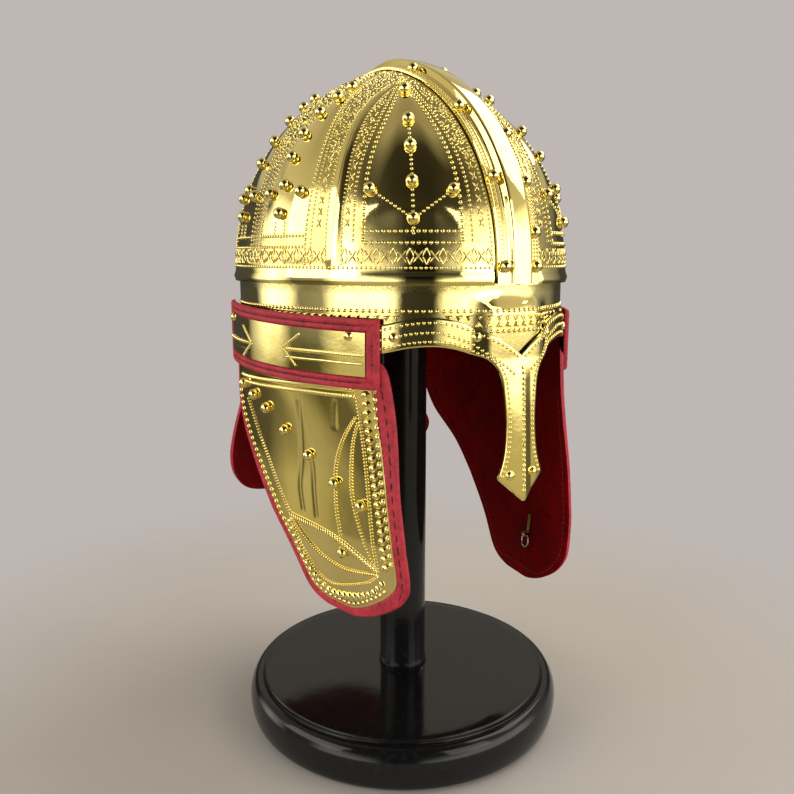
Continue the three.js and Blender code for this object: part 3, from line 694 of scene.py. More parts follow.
# Bead sizes, and bead lines round the arches: widening, added height, size, pitch.
FINE, SMALL, LARGE = (0.75, 0.75, 0.6), (0.95, 0.95, 0.75), (1.2, 1.2, 0.95)
WIDE_LINES = ((0.0, 0.0, LARGE, 3.3), (3.0, 5.0, SMALL, 2.7))
SIDE_LINES = ((0.0, 0.0, SMALL, 2.7), (2.0, 3.0, FINE, 2.3))


def seam_deg(h):
    out = np.clip((bowl_scale(h) - 0.39) / 0.61, 0, 1)
    return deg_at_y(43 + 22 * out**1.78, h)


def side_deg(h):
    return deg_at_y(21 + 6 * bowl_scale(h) ** 3, h)


def arch_half(arch, h, more=0.0, higher=0.0):
    """Half width in degrees of an arched panel, or of a line drawn outside it."""
    closed = np.clip((h - arch.spring) / (arch.apex + higher - arch.spring), 0, 1)
    return (arch.half + more) * (1 - closed**2.2)


def arch_line(arch, foot, more, higher):
    """The two sides of a line round an arched panel, from its foot up."""
    h = np.linspace(foot, arch.apex + higher, 70)
    middle = WIDE.deg if arch is WIDE else side_deg(h)
    half = arch_half(arch, h, more, higher)
    return pairs(middle - half, h), pairs(middle + half, h)


def bowl_relief(deg, h):
    """How far the bowl's face stands out: the lip, the swelling panels and the seam strips."""
    fold = np.minimum(deg, 180 - deg)
    x = BOWL.b * bowl_scale(h) * np.sin(np.radians(fold))
    clear = np.clip((x - RIDGE.flange - 1) / 2, 0, 1)
    lip = 1.5 * hump(h - 2.0, 2.2) + 0.35 * ease((8.4 - h) / 0.8)
    wide = ease(1.6 * (1 - np.abs(fold - WIDE.deg) / np.maximum(arch_half(WIDE, h), 0.1)))
    side = ease(1.6 * (1 - np.abs(fold - side_deg(h)) / np.maximum(arch_half(SIDE, h), 0.1)))
    panels = 0.9 * ease((h - 30) / 14) * (wide + 0.7 * side)
    seam = 0.8 * plateau(fold - seam_deg(h), SEAM_HALF, 0.7) * ease((h - 8) / 2)
    return clear * (lip + panels + seam + wave(deg * 1.9, h, 0.07))


def bowl_painted_shade(deg, h):
    """Painted shade: dark in the struck bands, where shade falls among the struck marks, and none in the
    panels and on the plain strips.
    """
    fold = np.minimum(deg, 180 - deg)
    wide = plateau(fold - WIDE.deg, arch_half(WIDE, h) + 0.6, 0.8)
    side = plateau(fold - side_deg(h), arch_half(SIDE, h) + 0.6, 0.8)
    seam = plateau(fold - seam_deg(h), SEAM_HALF + 0.3, 0.5)
    return 0.75 * ease((h - 9) / 1.5) * (1 - np.maximum(np.maximum(wide, side) * ease((h - 28) / 2), seam))


def arc_of_height():
    """Share of the way up the front of the bowl, and height."""
    h = np.linspace(0, BOWL.top, 400)
    length = travelled(pairs(h, BOWL.a * bowl_scale(h)))
    return length / length[-1], h


def bowl_half(name, side):
    piece = Piece()
    rows, columns = 64, 168
    h = np.interp(np.linspace(0, 1, rows), *arc_of_height())[:, None]
    edge = deg_at_x(BOWL.edge, h)
    deg = edge + (180 - 2 * edge) * np.linspace(0, 1, columns)
    # Painted shade over the struck bands of this half.
    painted_dark = bowl_painted_shade(deg, h)
    face = partial(on_bowl, side)
    wrap(piece, face, deg, h, bowl_relief(deg, h), -BOWL.wall, grime=painted_dark, flip=side == RIGHT)
    for back in (False, True):
        quarter(piece, bowl_skin(side, back))
    piece.make(f"bowl_{name}", "brass", [BRASS])


def bowl_skin(side, back):
    """The face of one quarter, with angles from the front or from the back."""
    def skin(u, v, lift=0.0):
        deg = 180 - u if back else u
        return on_bowl(side, deg, v, bowl_relief(deg, v) + lift)
    return skin


def quarter(piece, skin):
    """Struck lines, marks and studs of a wide panel, a side panel and the bands round them."""
    spots(piece, skin, WIDE_STUDS + SIDE_STUDS, STUD)

    # Lines of beads along the arches, the seam strip and the ridge
    for more, higher, size, pitch in WIDE_LINES:
        low, high = arch_line(WIDE, FLOOR_LINES[0], more, higher)
        row(piece, skin, np.vstack([low, high[::-1]]), pitch, size)
    for more, higher, size, pitch in SIDE_LINES:
        for line in arch_line(SIDE, 10.0, more, higher):
            row(piece, skin, np.minimum(line, [89.0, BOWL.height]), pitch, size)
    h = np.linspace(10, 112, 80)
    seam = seam_deg(h)
    beside = SEAM_HALF + 1.02 * deg_per_mm(seam, h)
    for deg in (seam - beside, seam + beside):
        row(piece, skin, pairs(deg, h), 2.4, FINE)
    rib(piece, skin, pairs(seam, h), 0.45, 0.3, 3.0)
    h = np.linspace(10, 105, 60)
    row(piece, skin, pairs(deg_at_x(RIDGE.flange + 2.2, h), h), 2.4, FINE)

    # Two lines across each panel's foot and one round the rim
    for h in FLOOR_LINES:
        row(piece, skin, pairs((WIDE.deg - WIDE.half, WIDE.deg, WIDE.deg + WIDE.half), h), 3.1, LARGE)
        row(piece, skin, pairs((67.0, 77.0, 87.5), h - 2), 2.6, SMALL)
    row(piece, skin, pairs(np.linspace(10, 90, 60), FRIEZE.bead), 2.7, SMALL)

    # The panels' figures: beads down the wide one and from its side studs, and strokes on the other
    row(piece, skin, pairs(WIDE.deg, (84, 60, 26)), 2.9, SMALL)
    for stud in WIDE_STUDS[4:6]:
        row(piece, skin, [stud, WIDE_STUDS[-1]], 2.6, SMALL)
    for deg in (75.3, 79.7):
        for heights in ((35, 27), (20, 11)):
            row(piece, skin, pairs(deg, heights), 2.3, (1.5, 0.6, 0.6), STROKE, 40.0)

    # Crossed strokes up the bands beside the arches
    h = np.linspace(30, GRAVEL_FROM + 6, 40)
    for deg in (
        WIDE.deg - arch_half(WIDE, h, 6.2, 9.0), WIDE.deg + arch_half(WIDE, h, 5.0, 8.0),
        side_deg(h) - arch_half(SIDE, h, 4.4, 6.0),
    ):
        for spin in (32.0, -32.0):
            row(piece, skin, pairs(deg, h), 6.6, (3.1, 0.62, 0.75), STROKE, spin)

    # The frieze round the rim: crosses between pairs of bent strokes
    for start, end in FRIEZE.spans:
        count = round((end - start) * FRIEZE.mm_deg / FRIEZE.pitch)
        step = (end - start) / count
        crosses = pairs(start + step * (np.arange(count) + 0.5), FRIEZE.middle)
        bends = start + step * np.arange(count + 1)
        for spin in (52.0, -52.0):
            spots(piece, skin, crosses, STROKE, (4.6, 0.65, 0.75), spin)
            at = bends + math.copysign(0.55, spin)
            for up in (1, -1):
                places = pairs(at, FRIEZE.middle + 2.3 * up)
                spots(piece, skin, places, STROKE, (2.6, 0.6, 0.7), spin * 1.3 * up)
    gravel(piece, skin)


def gravel(piece, skin):
    """Short strokes struck every way over the upper bands."""
    places = []
    for h in np.arange(GRAVEL_FROM - 4, 127.0, 1.15):
        mm = deg_per_mm(45.0, h)
        deg = np.arange(deg_at_x(RIDGE.flange + 3.4, h), 90.0, 2.5 * mm)
        places.append(pairs(deg + RANDOM.uniform(-0.9, 0.9, len(deg)) * mm, h))
    places = np.vstack(places)
    places[:, 1] += RANDOM.uniform(-0.5, 0.5, len(places))
    deg, h = places.T
    mm = deg_per_mm(deg, h)
    free = np.abs(deg - WIDE.deg) > arch_half(WIDE, h, 3.0, 5.0) + 1.6 * mm
    free &= np.abs(deg - side_deg(h)) > arch_half(SIDE, h, 2.0, 3.0) + 1.4 * mm
    free &= np.abs(deg - seam_deg(h)) > SEAM_HALF + 1.6 * mm
    free &= RANDOM.uniform(0, 1, len(deg)) < ease((h - GRAVEL_FROM + 4) / 12) * 0.85
    places = places[free]
    length = RANDOM.uniform(0.9, 1.7, len(places))
    size = np.stack(grids(length, 0.55, 0.6), 1)
    spots(piece, skin, places, STROKE, size, RANDOM.uniform(0, 180, len(places)))


# The ridge

# Half its section: places on the flange, and then distance to the side and rise over the foot and the top.
FLANGE_AT = (RIDGE.flange, 14.0, 12.5, 11.0, 9.5, 8.2)
RIDGE_OUTER = (
    ((7.5, 1.35), (7.2, 1.9)),
    ((7.0, -0.9), (6.75, -0.35), (6.2, -0.06), (4.5, 0.12), (2.2, 0.22), (0.0, 0.25)),
)
RIDGE_INNER = (
    ((6.6, 0.0), (6.0, 0.0)),
    ((5.8, -1.6), (5.7, -1.4), (5.4, -1.3), (4.0, -1.2), (2.0, -1.2), (0.0, -1.2)),
)
# Struck lines on the flanges, by distance to the side, and studs: heights on the wearer's right and left.
FLANGE_LINES = (8.7, 11.0, 13.4)
FLANGE_BEADS = 12.2
FLANGE_STUDS = {RIGHT: (10, 57, 96.5, 124), LEFT: (10, 28, 55, 82, 107, 124)}
FLANGE_TILT = 0.018


def ridge_stations():
    """The ridge's middle line from the rim's front to its back: y, height, and the normal's y and z."""
    share, heights = arc_of_height()
    h = np.interp(np.linspace(0.004, 1, 70), share, heights)
    y = BOWL.a * bowl_scale(h)
    normal = bowl_normal(np.zeros_like(h), y, h)
    back = np.stack([y, h, normal[:, 1], normal[:, 2]], 1)
    return np.vstack([back * [-1, 1, -1, 1], [[0, BOWL.height, 0, 1]], back[::-1]])


STATIONS = ridge_stations()


def bowl_drop(y, h, ny, nz, x):
    """Distance from the middle line's tangent plane down to the bowl at x to one side."""
    low, high = np.zeros_like(x), np.full_like(x, BOWL.height / 2)
    for _ in range(34):
        mid = (low + high) / 2
        outside = (x / BOWL.b) ** 2 + ((y - ny * mid) / BOWL.a) ** 2 > bowl_scale(h - nz * mid) ** 2
        low, high = np.where(outside, mid, low), np.where(outside, high, mid)
    return low


def on_ridge(x, station, lift=0.0):
    """The flange's face by distance to the side and place along the ridge."""
    x, station, lift = grids(x, station, lift)
    y, h, ny, nz = (np.interp(station, np.arange(len(STATIONS)), k) for k in STATIONS.T)
    up = RIDGE.seat + RIDGE.sheet - bowl_drop(y, h, ny, nz, np.abs(x))
    normal = unit(np.stack([x * FLANGE_TILT, ny, nz], -1))
    return helm(x, y + ny * up, h + nz * up) + normal * lift[..., None], normal


def ridge():
    piece = Piece()
    y, h, ny, nz = STATIONS.T
    top = RIDGE.low_top + (RIDGE.high_top - RIDGE.low_top) * ease(h / RIDGE.rise_over)

    def place(x, up):
        return helm(np.full_like(y, x), y + ny * up, h + nz * up)

    def seat(x):
        return RIDGE.seat - bowl_drop(y, h, ny, nz, np.full_like(y, x))

    def section(sheet_lift, foot, over):
        half = [place(x, seat(x) + sheet_lift) for x in FLANGE_AT]
        half += [place(x, seat(RIDGE.box) + up) for x, up in foot]
        half += [place(x, top + up) for x, up in over]
        return np.stack(half + [k * [-1, 1, 1] for k in half[-2::-1]], 1)

    shell(piece, section(RIDGE.sheet, *RIDGE_OUTER), section(0.0, *RIDGE_INNER))
    ends = np.linspace(2, len(STATIONS) - 3, 120)
    for x in FLANGE_LINES:
        rib(piece, on_ridge, pairs(-x, ends), 0.55, 0.55, 3.0)
        row(piece, on_ridge, pairs(x, ends), 2.1, (1.35, 0.6, 0.65), STROKE, 35.0)
    row(piece, on_ridge, pairs(-FLANGE_BEADS, ends), 2.4, (0.55, 0.55, 0.45))
    middle = len(STATIONS) // 2
    for side, heights in FLANGE_STUDS.items():
        front = np.interp(heights, STATIONS[: middle + 1, 1], np.arange(middle + 1))
        stations = np.concatenate([front, len(STATIONS) - 1 - front])
        spots(piece, on_ridge, pairs(side * FLANGE_LINES[1], stations), STUD)
    piece.make("ridge", "brass", [BRASS])


# The base band

# What covers it, by angle from the front and height: the temple trays and the neck guard.
TRAY_COVER = Sizes(front=44, back=133, top=-18.2)
NECK_COVER = Sizes(front=147, top=-22.5)
# Rows struck round it: heights of beads, and heights and turns of wedges.
BAND_BEADS = (-13.6, -24.6)
BAND_WEDGES = ((-17.0, 30.0), (-21.2, -30.0))


def on_front_band(deg, z, lift=0.0):
    """The band's wall, drawn forward in a keel under the brow."""
    points, normals = ON_BAND(deg, z, lift)
    keel = KEEL.band * plateau(points[..., 0], KEEL.half, KEEL.over) * ease((-3.0 - np.asarray(z)) / 13.0)
    forward = np.zeros_like(points)
    forward[..., 1] = np.where(points[..., 1] < HELM_Y, -keel, 0.0)
    return points + forward, normals


def band_shown(points):
    """Which places on the band the brow, the temple trays and the neck guard leave open."""
    x, y, z = points.T - [[0.0], [HELM_Y], [RIM_Z]]
    side = np.abs(np.degrees(np.arctan2(x / BAND.b, -y / BAND.a)))
    brow = (side < BROW.end) & (z < np.interp(side, *np.transpose(BROW_EDGE)) + 1.2)
    temple_tray = (side > TRAY_COVER.front) & (side < TRAY_COVER.back) & (z < TRAY_COVER.top)
    neck_guard = (side > NECK_COVER.front) & (z < NECK_COVER.top)
    return ~(brow | temple_tray | neck_guard)


def base_band():
    piece = Piece()
    deg = np.linspace(-180, 180, 241)
    bottom = BAND.bottom + (BAND.peak - BAND.bottom) * np.exp(-((deg / BAND.peak_deg) ** 2))
    z = BAND.tuck + (bottom - BAND.tuck) * np.linspace(0, 1, 14)[:, None]
    # Painted shade: darker over the struck rows low on the band, and a painted shadow along its top under
    # the bowl's lip.
    painted_dark = np.maximum(ease((-13.5 - z) / 2) * 0.6, ease((z + 5) / 4))
    wrap(piece, on_front_band, deg, z, wave(deg * 1.9, z, 0.1), -BAND.wall, grime=painted_dark, flip=True)
    round_band = np.linspace(-180, 180, 400)
    for z in BAND_BEADS:
        row(piece, on_front_band, pairs(round_band, z), 3.7, (1.2, 1.2, 1.0), keep=band_shown)
    for z, spin in BAND_WEDGES:
        row(piece, on_front_band, pairs(round_band, z), 5.6, (2.8, 2.1, 1.5), WEDGE, spin, keep=band_shown)
    piece.make("base_band", "brass", [BRASS])


# The brow and nasal

# Rivets: angles from the front and height on the brow, and distance to the side and height on the nasal.
BROW_RIVETS = Sizes(deg=(39.2, 14.5), z=-27.5)
NASAL_RIVET = (8.6, -105.0)


def brow_line(start, end, count, drop, side=LEFT):
    """A line at a distance under the brow's upper edge, between two angles from the front."""
    deg = np.linspace(start, end, count)
    return pairs(side * BAND.b * np.sin(np.radians(deg)), np.interp(deg, *spline(BROW_EDGE, 120).T) - drop)


def brow_outline():
    """One half of the outline from the notch over the nose round to the tip, then mirrored."""
    upper = brow_line(0, BROW.end, 40, 0.0)
    lower = brow_line(BROW.end, 17.0, 26, BROW.width)
    nasal = spline([lower[-1], *((x, z) for z, x in NASAL_EDGE)], 60)[1:]
    half = np.vstack([upper, lower, nasal, [[0.0, NASAL.tip]]])
    return np.vstack([half, (half * [-1, 1])[-2:0:-1]])


def brow_nasal():
    piece = Piece()
    flat, faces, edge = cut(brow_outline(), 1.5, (0.5, 1.1))
    outside = BROW.seat + BROW.wall
    over = outside - 0.45 * (1 - rounded(distance(flat, edge) / 0.9))
    sheet(piece, flat, faces, ON_BROW, over + wave(*flat.T, 0.06), BROW.seat)
    skin = raised(ON_BROW, outside)
    size = (1.0, 1.0, 0.85)
    margin = 2.6
    end = BROW.end - 1.5
    for side in SIDES.values():
        row(piece, skin, brow_line(end, 1.0, 60, 2.7, side), 3.1, size)
        centre = spline([(side * 42, -25.3), (side * 30, -29.2), (side * 17, -39.0), (side * 4, -49.0)], 50)
        row(piece, skin, np.vstack([brow_line(end, 25, 30, 8.0, side), centre[-30:]]), 2.9, size)
        nasal = spline([(side * (x - margin), z) for z, x in NASAL_EDGE], 60)
        arm = brow_line(end, 17.5, 40, BROW.width - margin, side)
        row(piece, skin, np.vstack([arm, nasal[2:]]), 2.8, size)
        x = side * BAND.b * np.sin(np.radians(BROW_RIVETS.deg))
        spots(piece, skin, pairs(x, BROW_RIVETS.z), RIVET)
        spots(piece, skin, [np.multiply(NASAL_RIVET, (side, 1))], RIVET, (1.05, 1.05, 1.1))
    row(piece, skin, pairs(0, (-44, -80, -116)), 2.9, (1.1, 1.1, 0.95))
    piece.make("brow_nasal", "brass", [BRASS])


# The temple trays and their plates

# Figures on the plates, by angle from the front and height: arrow heads as tip and ends, and their shafts,
# each with a plain line below it.
ARROWS = (
    ((74.2, -36), (67.4, -27.2), (68.8, -46)), ((90.1, -36.4), (96.7, -26.2), (96.7, -45.2)),
)
SHAFTS = ([(73.0, -36.4), (59.5, -36.6), (47.4, -37.4)], [(91.5, -36.2), (102, -36.2), (113.4, -36)])
SHAFT_DROP = 4.6
TEMPLE_RIVETS = ((51.8, -27.0), (109.2, -23.2))
TEMPLE_SEAM = Sizes(at=3.6, from_end=9.0)


def with_edges(length, count):
    """Even steps along a length, and two close ones at each end."""
    ends = np.array([0.3, 0.8])
    return np.unique(np.concatenate([np.linspace(0, length, count), ends, length - ends]))


def temple(name, side):
    piece = Piece()
    surface = ON_TEMPLE[side]
    width = (TEMPLE.back - TEMPLE.front) * TEMPLE.mm_deg
    depth = TEMPLE.top - TEMPLE.bottom
    along, down = np.meshgrid(with_edges(width, 130), with_edges(depth, 50))
    from_end = np.minimum(along, width - along)
    from_side = np.minimum(down, depth - down)
    edge = np.minimum(from_end, from_side)
    fold = rounded(edge / 1.3) * rounded((TEMPLE.border - edge) / 0.9)
    groove = 0.55 * hump(edge - TEMPLE_SEAM.at, 0.9) * (edge < TEMPLE.border)
    mitre = 0.7 * hump(from_end - from_side, 0.8) * (edge < TEMPLE.border)
    bulge = 0.35 * hump(edge - 1.8, 1.7) + 0.3 * hump(edge - 5.4, 1.5)
    over = LINING + fold * (FOLD - groove - mitre + bulge)
    wrap(piece, surface, along, down, over, 0.0, lining=1, flip=side == RIGHT)

    # A thin thread down in the groove, with a dark hole every so often
    skin = raised(surface, LINING + FOLD - 0.5)
    ends = np.array([TEMPLE_SEAM.from_end, -TEMPLE_SEAM.from_end])
    across, up = ends + [0, width], ends + [0, depth]
    for line in (
        pairs(across, TEMPLE_SEAM.at), pairs(across, depth - TEMPLE_SEAM.at),
        pairs(TEMPLE_SEAM.at, up), pairs(width - TEMPLE_SEAM.at, up),
    ):
        line = np.linspace(*line, 3)
        rib(piece, skin, line, 0.34, 0.3, paint=2)
        row(piece, skin, line, 15.5, (0.95, 0.7, 0.5), paint=2)
    piece.make(f"temple_leather_{name}", "bound", [LEATHER, SUEDE, THREAD])

    plate = Piece()
    inset = TEMPLE.border + GAP
    along, down = np.meshgrid(np.linspace(inset, width - inset, 90), np.linspace(inset, depth - inset, 18))
    wrap(plate, surface, along, down, FACE + wave(along, down, 0.1), LINING + GAP, flip=side == RIGHT)

    def face(deg, z, lift=0.0):
        down = TEMPLE.top + temple_rise(deg) - z
        return surface((deg - TEMPLE.front) * TEMPLE.mm_deg, down, FACE + lift)

    for tip, *ends in ARROWS:
        for end in ends:
            rib(plate, face, [tip, end], 0.9, 0.45)
            row(plate, face, [tip, end], 1.7, (1.15, 0.5, 0.85), STROKE, 55.0)
    for line in SHAFTS:
        rib(plate, face, line, 1.1, 0.5)
        row(plate, face, line, 1.7, (1.35, 0.7, 1.05), STROKE, 60.0)
        rib(plate, face, np.subtract(line, (0, SHAFT_DROP)), 0.8, 0.55)
    spots(plate, face, TEMPLE_RIVETS, RIVET)
    plate.make(f"temple_plate_{name}", "brass", [BRASS])


# The cheek guards

# Figures on the plates: distance behind the middle and height of their control points.
CHEEK_FIGURES = {
    "front line": [(-74.5, -60), (-76, -81), (-79, -123), (-84, -167)],
    "back leaf": [(-73.5, -74), (-63, -89), (-54.5, -106), (-52, -120), (-52.5, -135), (-56, -151)],
    "front leaf": [(-74.5, -77), (-69, -94), (-65.5, -116), (-68, -132), (-76, -151), (-84, -166)],
    "top rope": [(40, -62.0), (0, -59.5), (-40, -58.0), (-74, -58.0)],
    "back line": [(38, -78), (27, -106), (13, -128), (-6, -150)],
    "bosses": [(-79.5, -58), (-80.5, -81), (-83.2, -110), (-88.0, -139), (-90.5, -164)],
    "stem": [(-6, -150), (-40.5, -151.5), (-56, -155), (-68, -159.5), (-83, -166)],
    "upper bow": [(-8, -151.5), (-20, -161.5), (-32, -167.5), (-45.5, -171), (-59, -172), (-84, -168)],
    "lower bow": [
        (-6, -153), (-12.5, -166.5), (-21.5, -177), (-32, -184), (-46, -185.5), (-73, -176), (-84, -168),
    ],
    "hem": [
        (-3, -153), (-8, -166.5), (-17, -179), (-28, -187.5), (-39, -192), (-50, -191.5), (-66, -187.5),
        (-79, -180.5), (-88, -171),
    ],
}
BEADED = ("front line", "back leaf", "front leaf", "back line", "upper bow", "lower bow")
CHEEK_STUDS = [
    (36.5, -67.5), (20, -72.5), (5, -79), (-11.5, -91), (-31.5, -104), (-52.5, -118), (-74, -127.5),
    (-57.5, -160.5),
]
# Long dents that waver down the plates: height, distance behind the middle.
CHEEK_DENTS = [
    [(-68, -34), (-87, -28.5), (-106, -22.5), (-126, -17), (-144, -19.5)],
    [(-107, -32), (-127, -31.5), (-146, -33.5)], [(-65, -61.5), (-83, -58)],
]
CHEEK_TOP, CHEEK_TIP = CHEEK_EDGE[0][0], CHEEK_EDGE[-1][0]
CHEEK_STEPS = 90
STITCHES = (-50.0, -180.0)
LINING_SEAM = Sizes(inset=6.0, top=-56.0)
BOSS_PITCH = 5.2
LUMPS = Sizes(top=-70, behind=-60, tip=-176)
FAR = 1e6


def cheek_outline(side, inset, top, bottom):
    """The cheek guard's outline, with its front and back edges drawn in: down the front and up the back."""
    table = np.array(CHEEK_EDGE, float)
    table[:, 2] += CHEEK_LOBE.reach[side] * ease((table[:, 0] - CHEEK_LOBE.start) / CHEEK_LOBE.over)
    z = np.linspace(top, bottom, CHEEK_STEPS)
    front = falling(table[:, [0, 1]], z) + inset
    back = falling(table[:, [0, 2]], z) - inset
    return np.vstack([pairs(front, z), pairs(back, z)[::-1]])


def drawn_in(side, front, rest):
    """The outline below the trays, drawn in square to its edge by one border in front and one elsewhere."""
    path = even(cheek_outline(side, 0, CHEEK_TOP, CHEEK_TIP), 1.0)
    square = inward(path, 2)
    border = rest + (front - rest) * ease((square[:, 0] - 0.1) / 0.6)
    inner = path + square * border[:, None]
    inner = inner[inside(inner, path) & (distance(inner, path) > 0.88 * border)]
    inner[:, 1] = np.minimum(inner[:, 1], CHEEK.top)
    return rounded_corners(inner)


def cheek_relief(y, z):
    """Slow waves, and dents that run only between their ends."""
    dents = 0.0
    for line in CHEEK_DENTS:
        within = (z < line[0][0]) & (z > line[-1][0])
        dents = dents + hump(y - np.where(within, falling(line, z, 60), FAR), 2.6)
    return wave(y, z, 0.14) - 0.5 * dents


def cheek_leather(name, side, window):
    surface = ON_CHEEK[side]
    piece = Piece()
    outline = rounded_corners(cheek_outline(side, 0, CHEEK_TOP, CHEEK_TIP))
    bound_sheet(piece, outline, window, surface, 1.7, CHEEK.top, (0, 1, 3), groove=0.5)

    # Stitches down the front border, and a seam round the lining
    border = cheek_outline(side, CHEEK.front / 2, *STITCHES)[:CHEEK_STEPS]
    row(piece, raised(surface, LINING + FOLD + 0.1), border, 7.0, (2.6, 0.5, 0.4), STROKE, paint=2)

    def back(u, v, lift=0.0):
        points, normals = surface(u, v, -lift)
        return points, -normals

    inset = LINING_SEAM.inset
    seam = rounded_corners(cheek_outline(side, inset, LINING_SEAM.top + inset, CHEEK_TIP + inset))
    seam = opened(seam[seam[:, 1] < LINING_SEAM.top])
    row(piece, back, seam, 3.6, (1.5, 0.32, 0.256), STROKE, paint=4)
    piece.make(f"cheek_leather_{name}", "bound", [LEATHER, SUEDE, THREAD, EDGE, SEAM_THREAD])


def cheek_plate(name, side, outline):
    plate = Piece()
    plate_sheet(plate, outline, ON_CHEEK[side], 1.6, cheek_relief)
    face = raised(ON_CHEEK[side], FACE)
    lines = {key: spline(points, 60) for key, points in CHEEK_FIGURES.items()}
    for key in BEADED:
        row(plate, face, lines[key], 1.95, (0.78, 1.3, 1.25))
    rib(plate, face, lines["stem"], 1.7, 1.0)
    row(plate, face, lines["stem"], 2.2, (0.95, 2.1, 1.7), STROKE, 25.0)
    for drop, half in ((0.0, 1.7), (4.2, 1.4)):
        rope = lines["top rope"] - [0.0, drop]
        rib(plate, face, rope, half, 0.9)
        row(plate, face, rope, 2.4, (0.95, half * 1.1, 1.4), STROKE, 32.0)
    row(plate, face, lines["bosses"], BOSS_PITCH, (2.45, 2.9, 2.0))
    row(plate, face, lines["bosses"] + [-4.3, BOSS_PITCH / 2], BOSS_PITCH, (2.1, 1.6, 1.5))
    row(plate, face, lines["hem"], 4.9, (2.35, 2.6, 1.9), spin=12.0)

    # Lumps along the back edge and round the tip
    lumps = drawn_in(side, CHEEK.front + 3.4, CHEEK.edge + 3.2)
    y, z = lumps.T
    lumps = lumps[(z < LUMPS.top) & ((y > LUMPS.behind) | (z < LUMPS.tip))]
    row(plate, face, opened(lumps), 4.4, (1.7, 1.4, 1.2), spin=25.0)
    spots(plate, face, CHEEK_STUDS, STUD)
    plate.make(f"cheek_plate_{name}", "brass", [BRASS])


def cheek(name, side):
    window = drawn_in(side, CHEEK.front + GAP, CHEEK.edge)
    cheek_leather(name, side, window)
    cheek_plate(name, side, window)


# The neck guard

# Lines of beads on its plate: inset, pitch, size.
NECK_LINES = ((9.0, 4.0, (1.7, 1.4, 1.1)), (13.0, 2.2, (0.9, 0.9, 0.75)))


def neck_outline(inset, top, bottom):
    z = np.linspace(top, bottom, 70)
    half = falling(NECK_EDGE, z) * NECK.mm_deg - inset
    return np.vstack([pairs(half, z), pairs(-half, z)[::-1]])


def neck():
    window = rounded_corners(neck_outline(NECK.border + GAP, NECK.top, NECK.bottom + 4.0), 4)
    outline = rounded_corners(neck_outline(0, NECK_EDGE[0][0], NECK_EDGE[-1][0]))
    piece = Piece()
    bound_sheet(piece, outline, window, ON_NECK, 2.0, NECK.top - 2.0, (0, 1, 2))
    piece.make("neck_leather", "bound", [LEATHER, SUEDE, EDGE])

    plate = Piece()
    plate_sheet(plate, window, ON_NECK, 2.2, lambda u, v: wave(u, v, 0.15))
    for inset, pitch, size in NECK_LINES:
        line = rounded_corners(neck_outline(inset, NECK.top - inset + 4, NECK.bottom + inset - 2), 4)
        row(plate, raised(ON_NECK, FACE), np.vstack([line, line[:1]]), pitch, size)
    plate.make("neck_plate", "brass", [BRASS])


# Tie rings

def tie_ring(name, side):
    half = TAB.length / 2
    (point,), (normal,) = ON_CHEEK[side]([TAB.y], [TAB.top - half], -GAP)
    into = -normal
    up = unit(np.array([0.0, 0.0, 1.0]) - into * into[2])
    across = np.cross(up, into)

    def place(out, rise, wide):
        out, rise, wide = (k[..., None] for k in grids(out, rise, wide))
        return point + into * out + up * rise + across * wide

    # A folded strip with an eye at its lower end: rise and distance from the lining along its middle
    radius = TAB.eye - TAB.sheet / 2
    line = [(half * share, TAB.sheet / 2) for share in (1.0, 0.3, -0.7)]
    for turn in np.linspace(-np.pi, np.pi / 2, 14):
        line.append((radius * math.sin(turn) - half, TAB.eye + radius * math.cos(turn)))
    line = np.array(line)
    direction = unit(np.gradient(line, axis=0))
    step = pairs(-direction[:, 1], direction[:, 0]) * TAB.sheet / 2
    wide = np.array([-0.5, -0.42, 0.42, 0.5]) * TAB.width
    tab = Piece()
    shell(tab, *(place(path[:, 1:], path[:, :1], wide) for path in (line + step, line - step)))
    tab.make(f"cheek_tab_{name}", "brass", [BRASS_DULL])

    # An oval ring of round wire
    count, sides = 48, 12
    i, j = np.meshgrid(np.arange(count), np.arange(sides), indexing="ij")
    around, tube = 2 * np.pi * i / count, 2 * np.pi * j / sides
    reach = RING.radius + RING.wire * np.cos(tube)
    rise = reach * np.sin(around) - (half + RING.radius)
    points = place(TAB.eye + RING.wire * np.sin(tube), rise, RING.squash * reach * np.cos(around))
    after, beside = (i + 1) % count, (j + 1) % sides
    quads = np.stack([i * sides + j, after * sides + j, after * sides + beside, i * sides + beside], -1)
    ring = Piece()
    ring.add(points, (quads.reshape(-1, 4), 0))
    ring.make(f"cheek_ring_{name}", "wire", [STEEL])


# The stand

def arc(centre, radius, start, end, count):
    turn = np.radians(np.linspace(start, end, count))
    return [(centre[0] + radius[0] * math.cos(t), centre[1] + radius[1] * math.sin(t)) for t in turn]


def lathe(node, profile, sides):
    piece = Piece()
    points, faces = turned(profile, sides)
    piece.add(points, (faces, 0))
    piece.make(node, "turned", [LACQUER], 50.0)


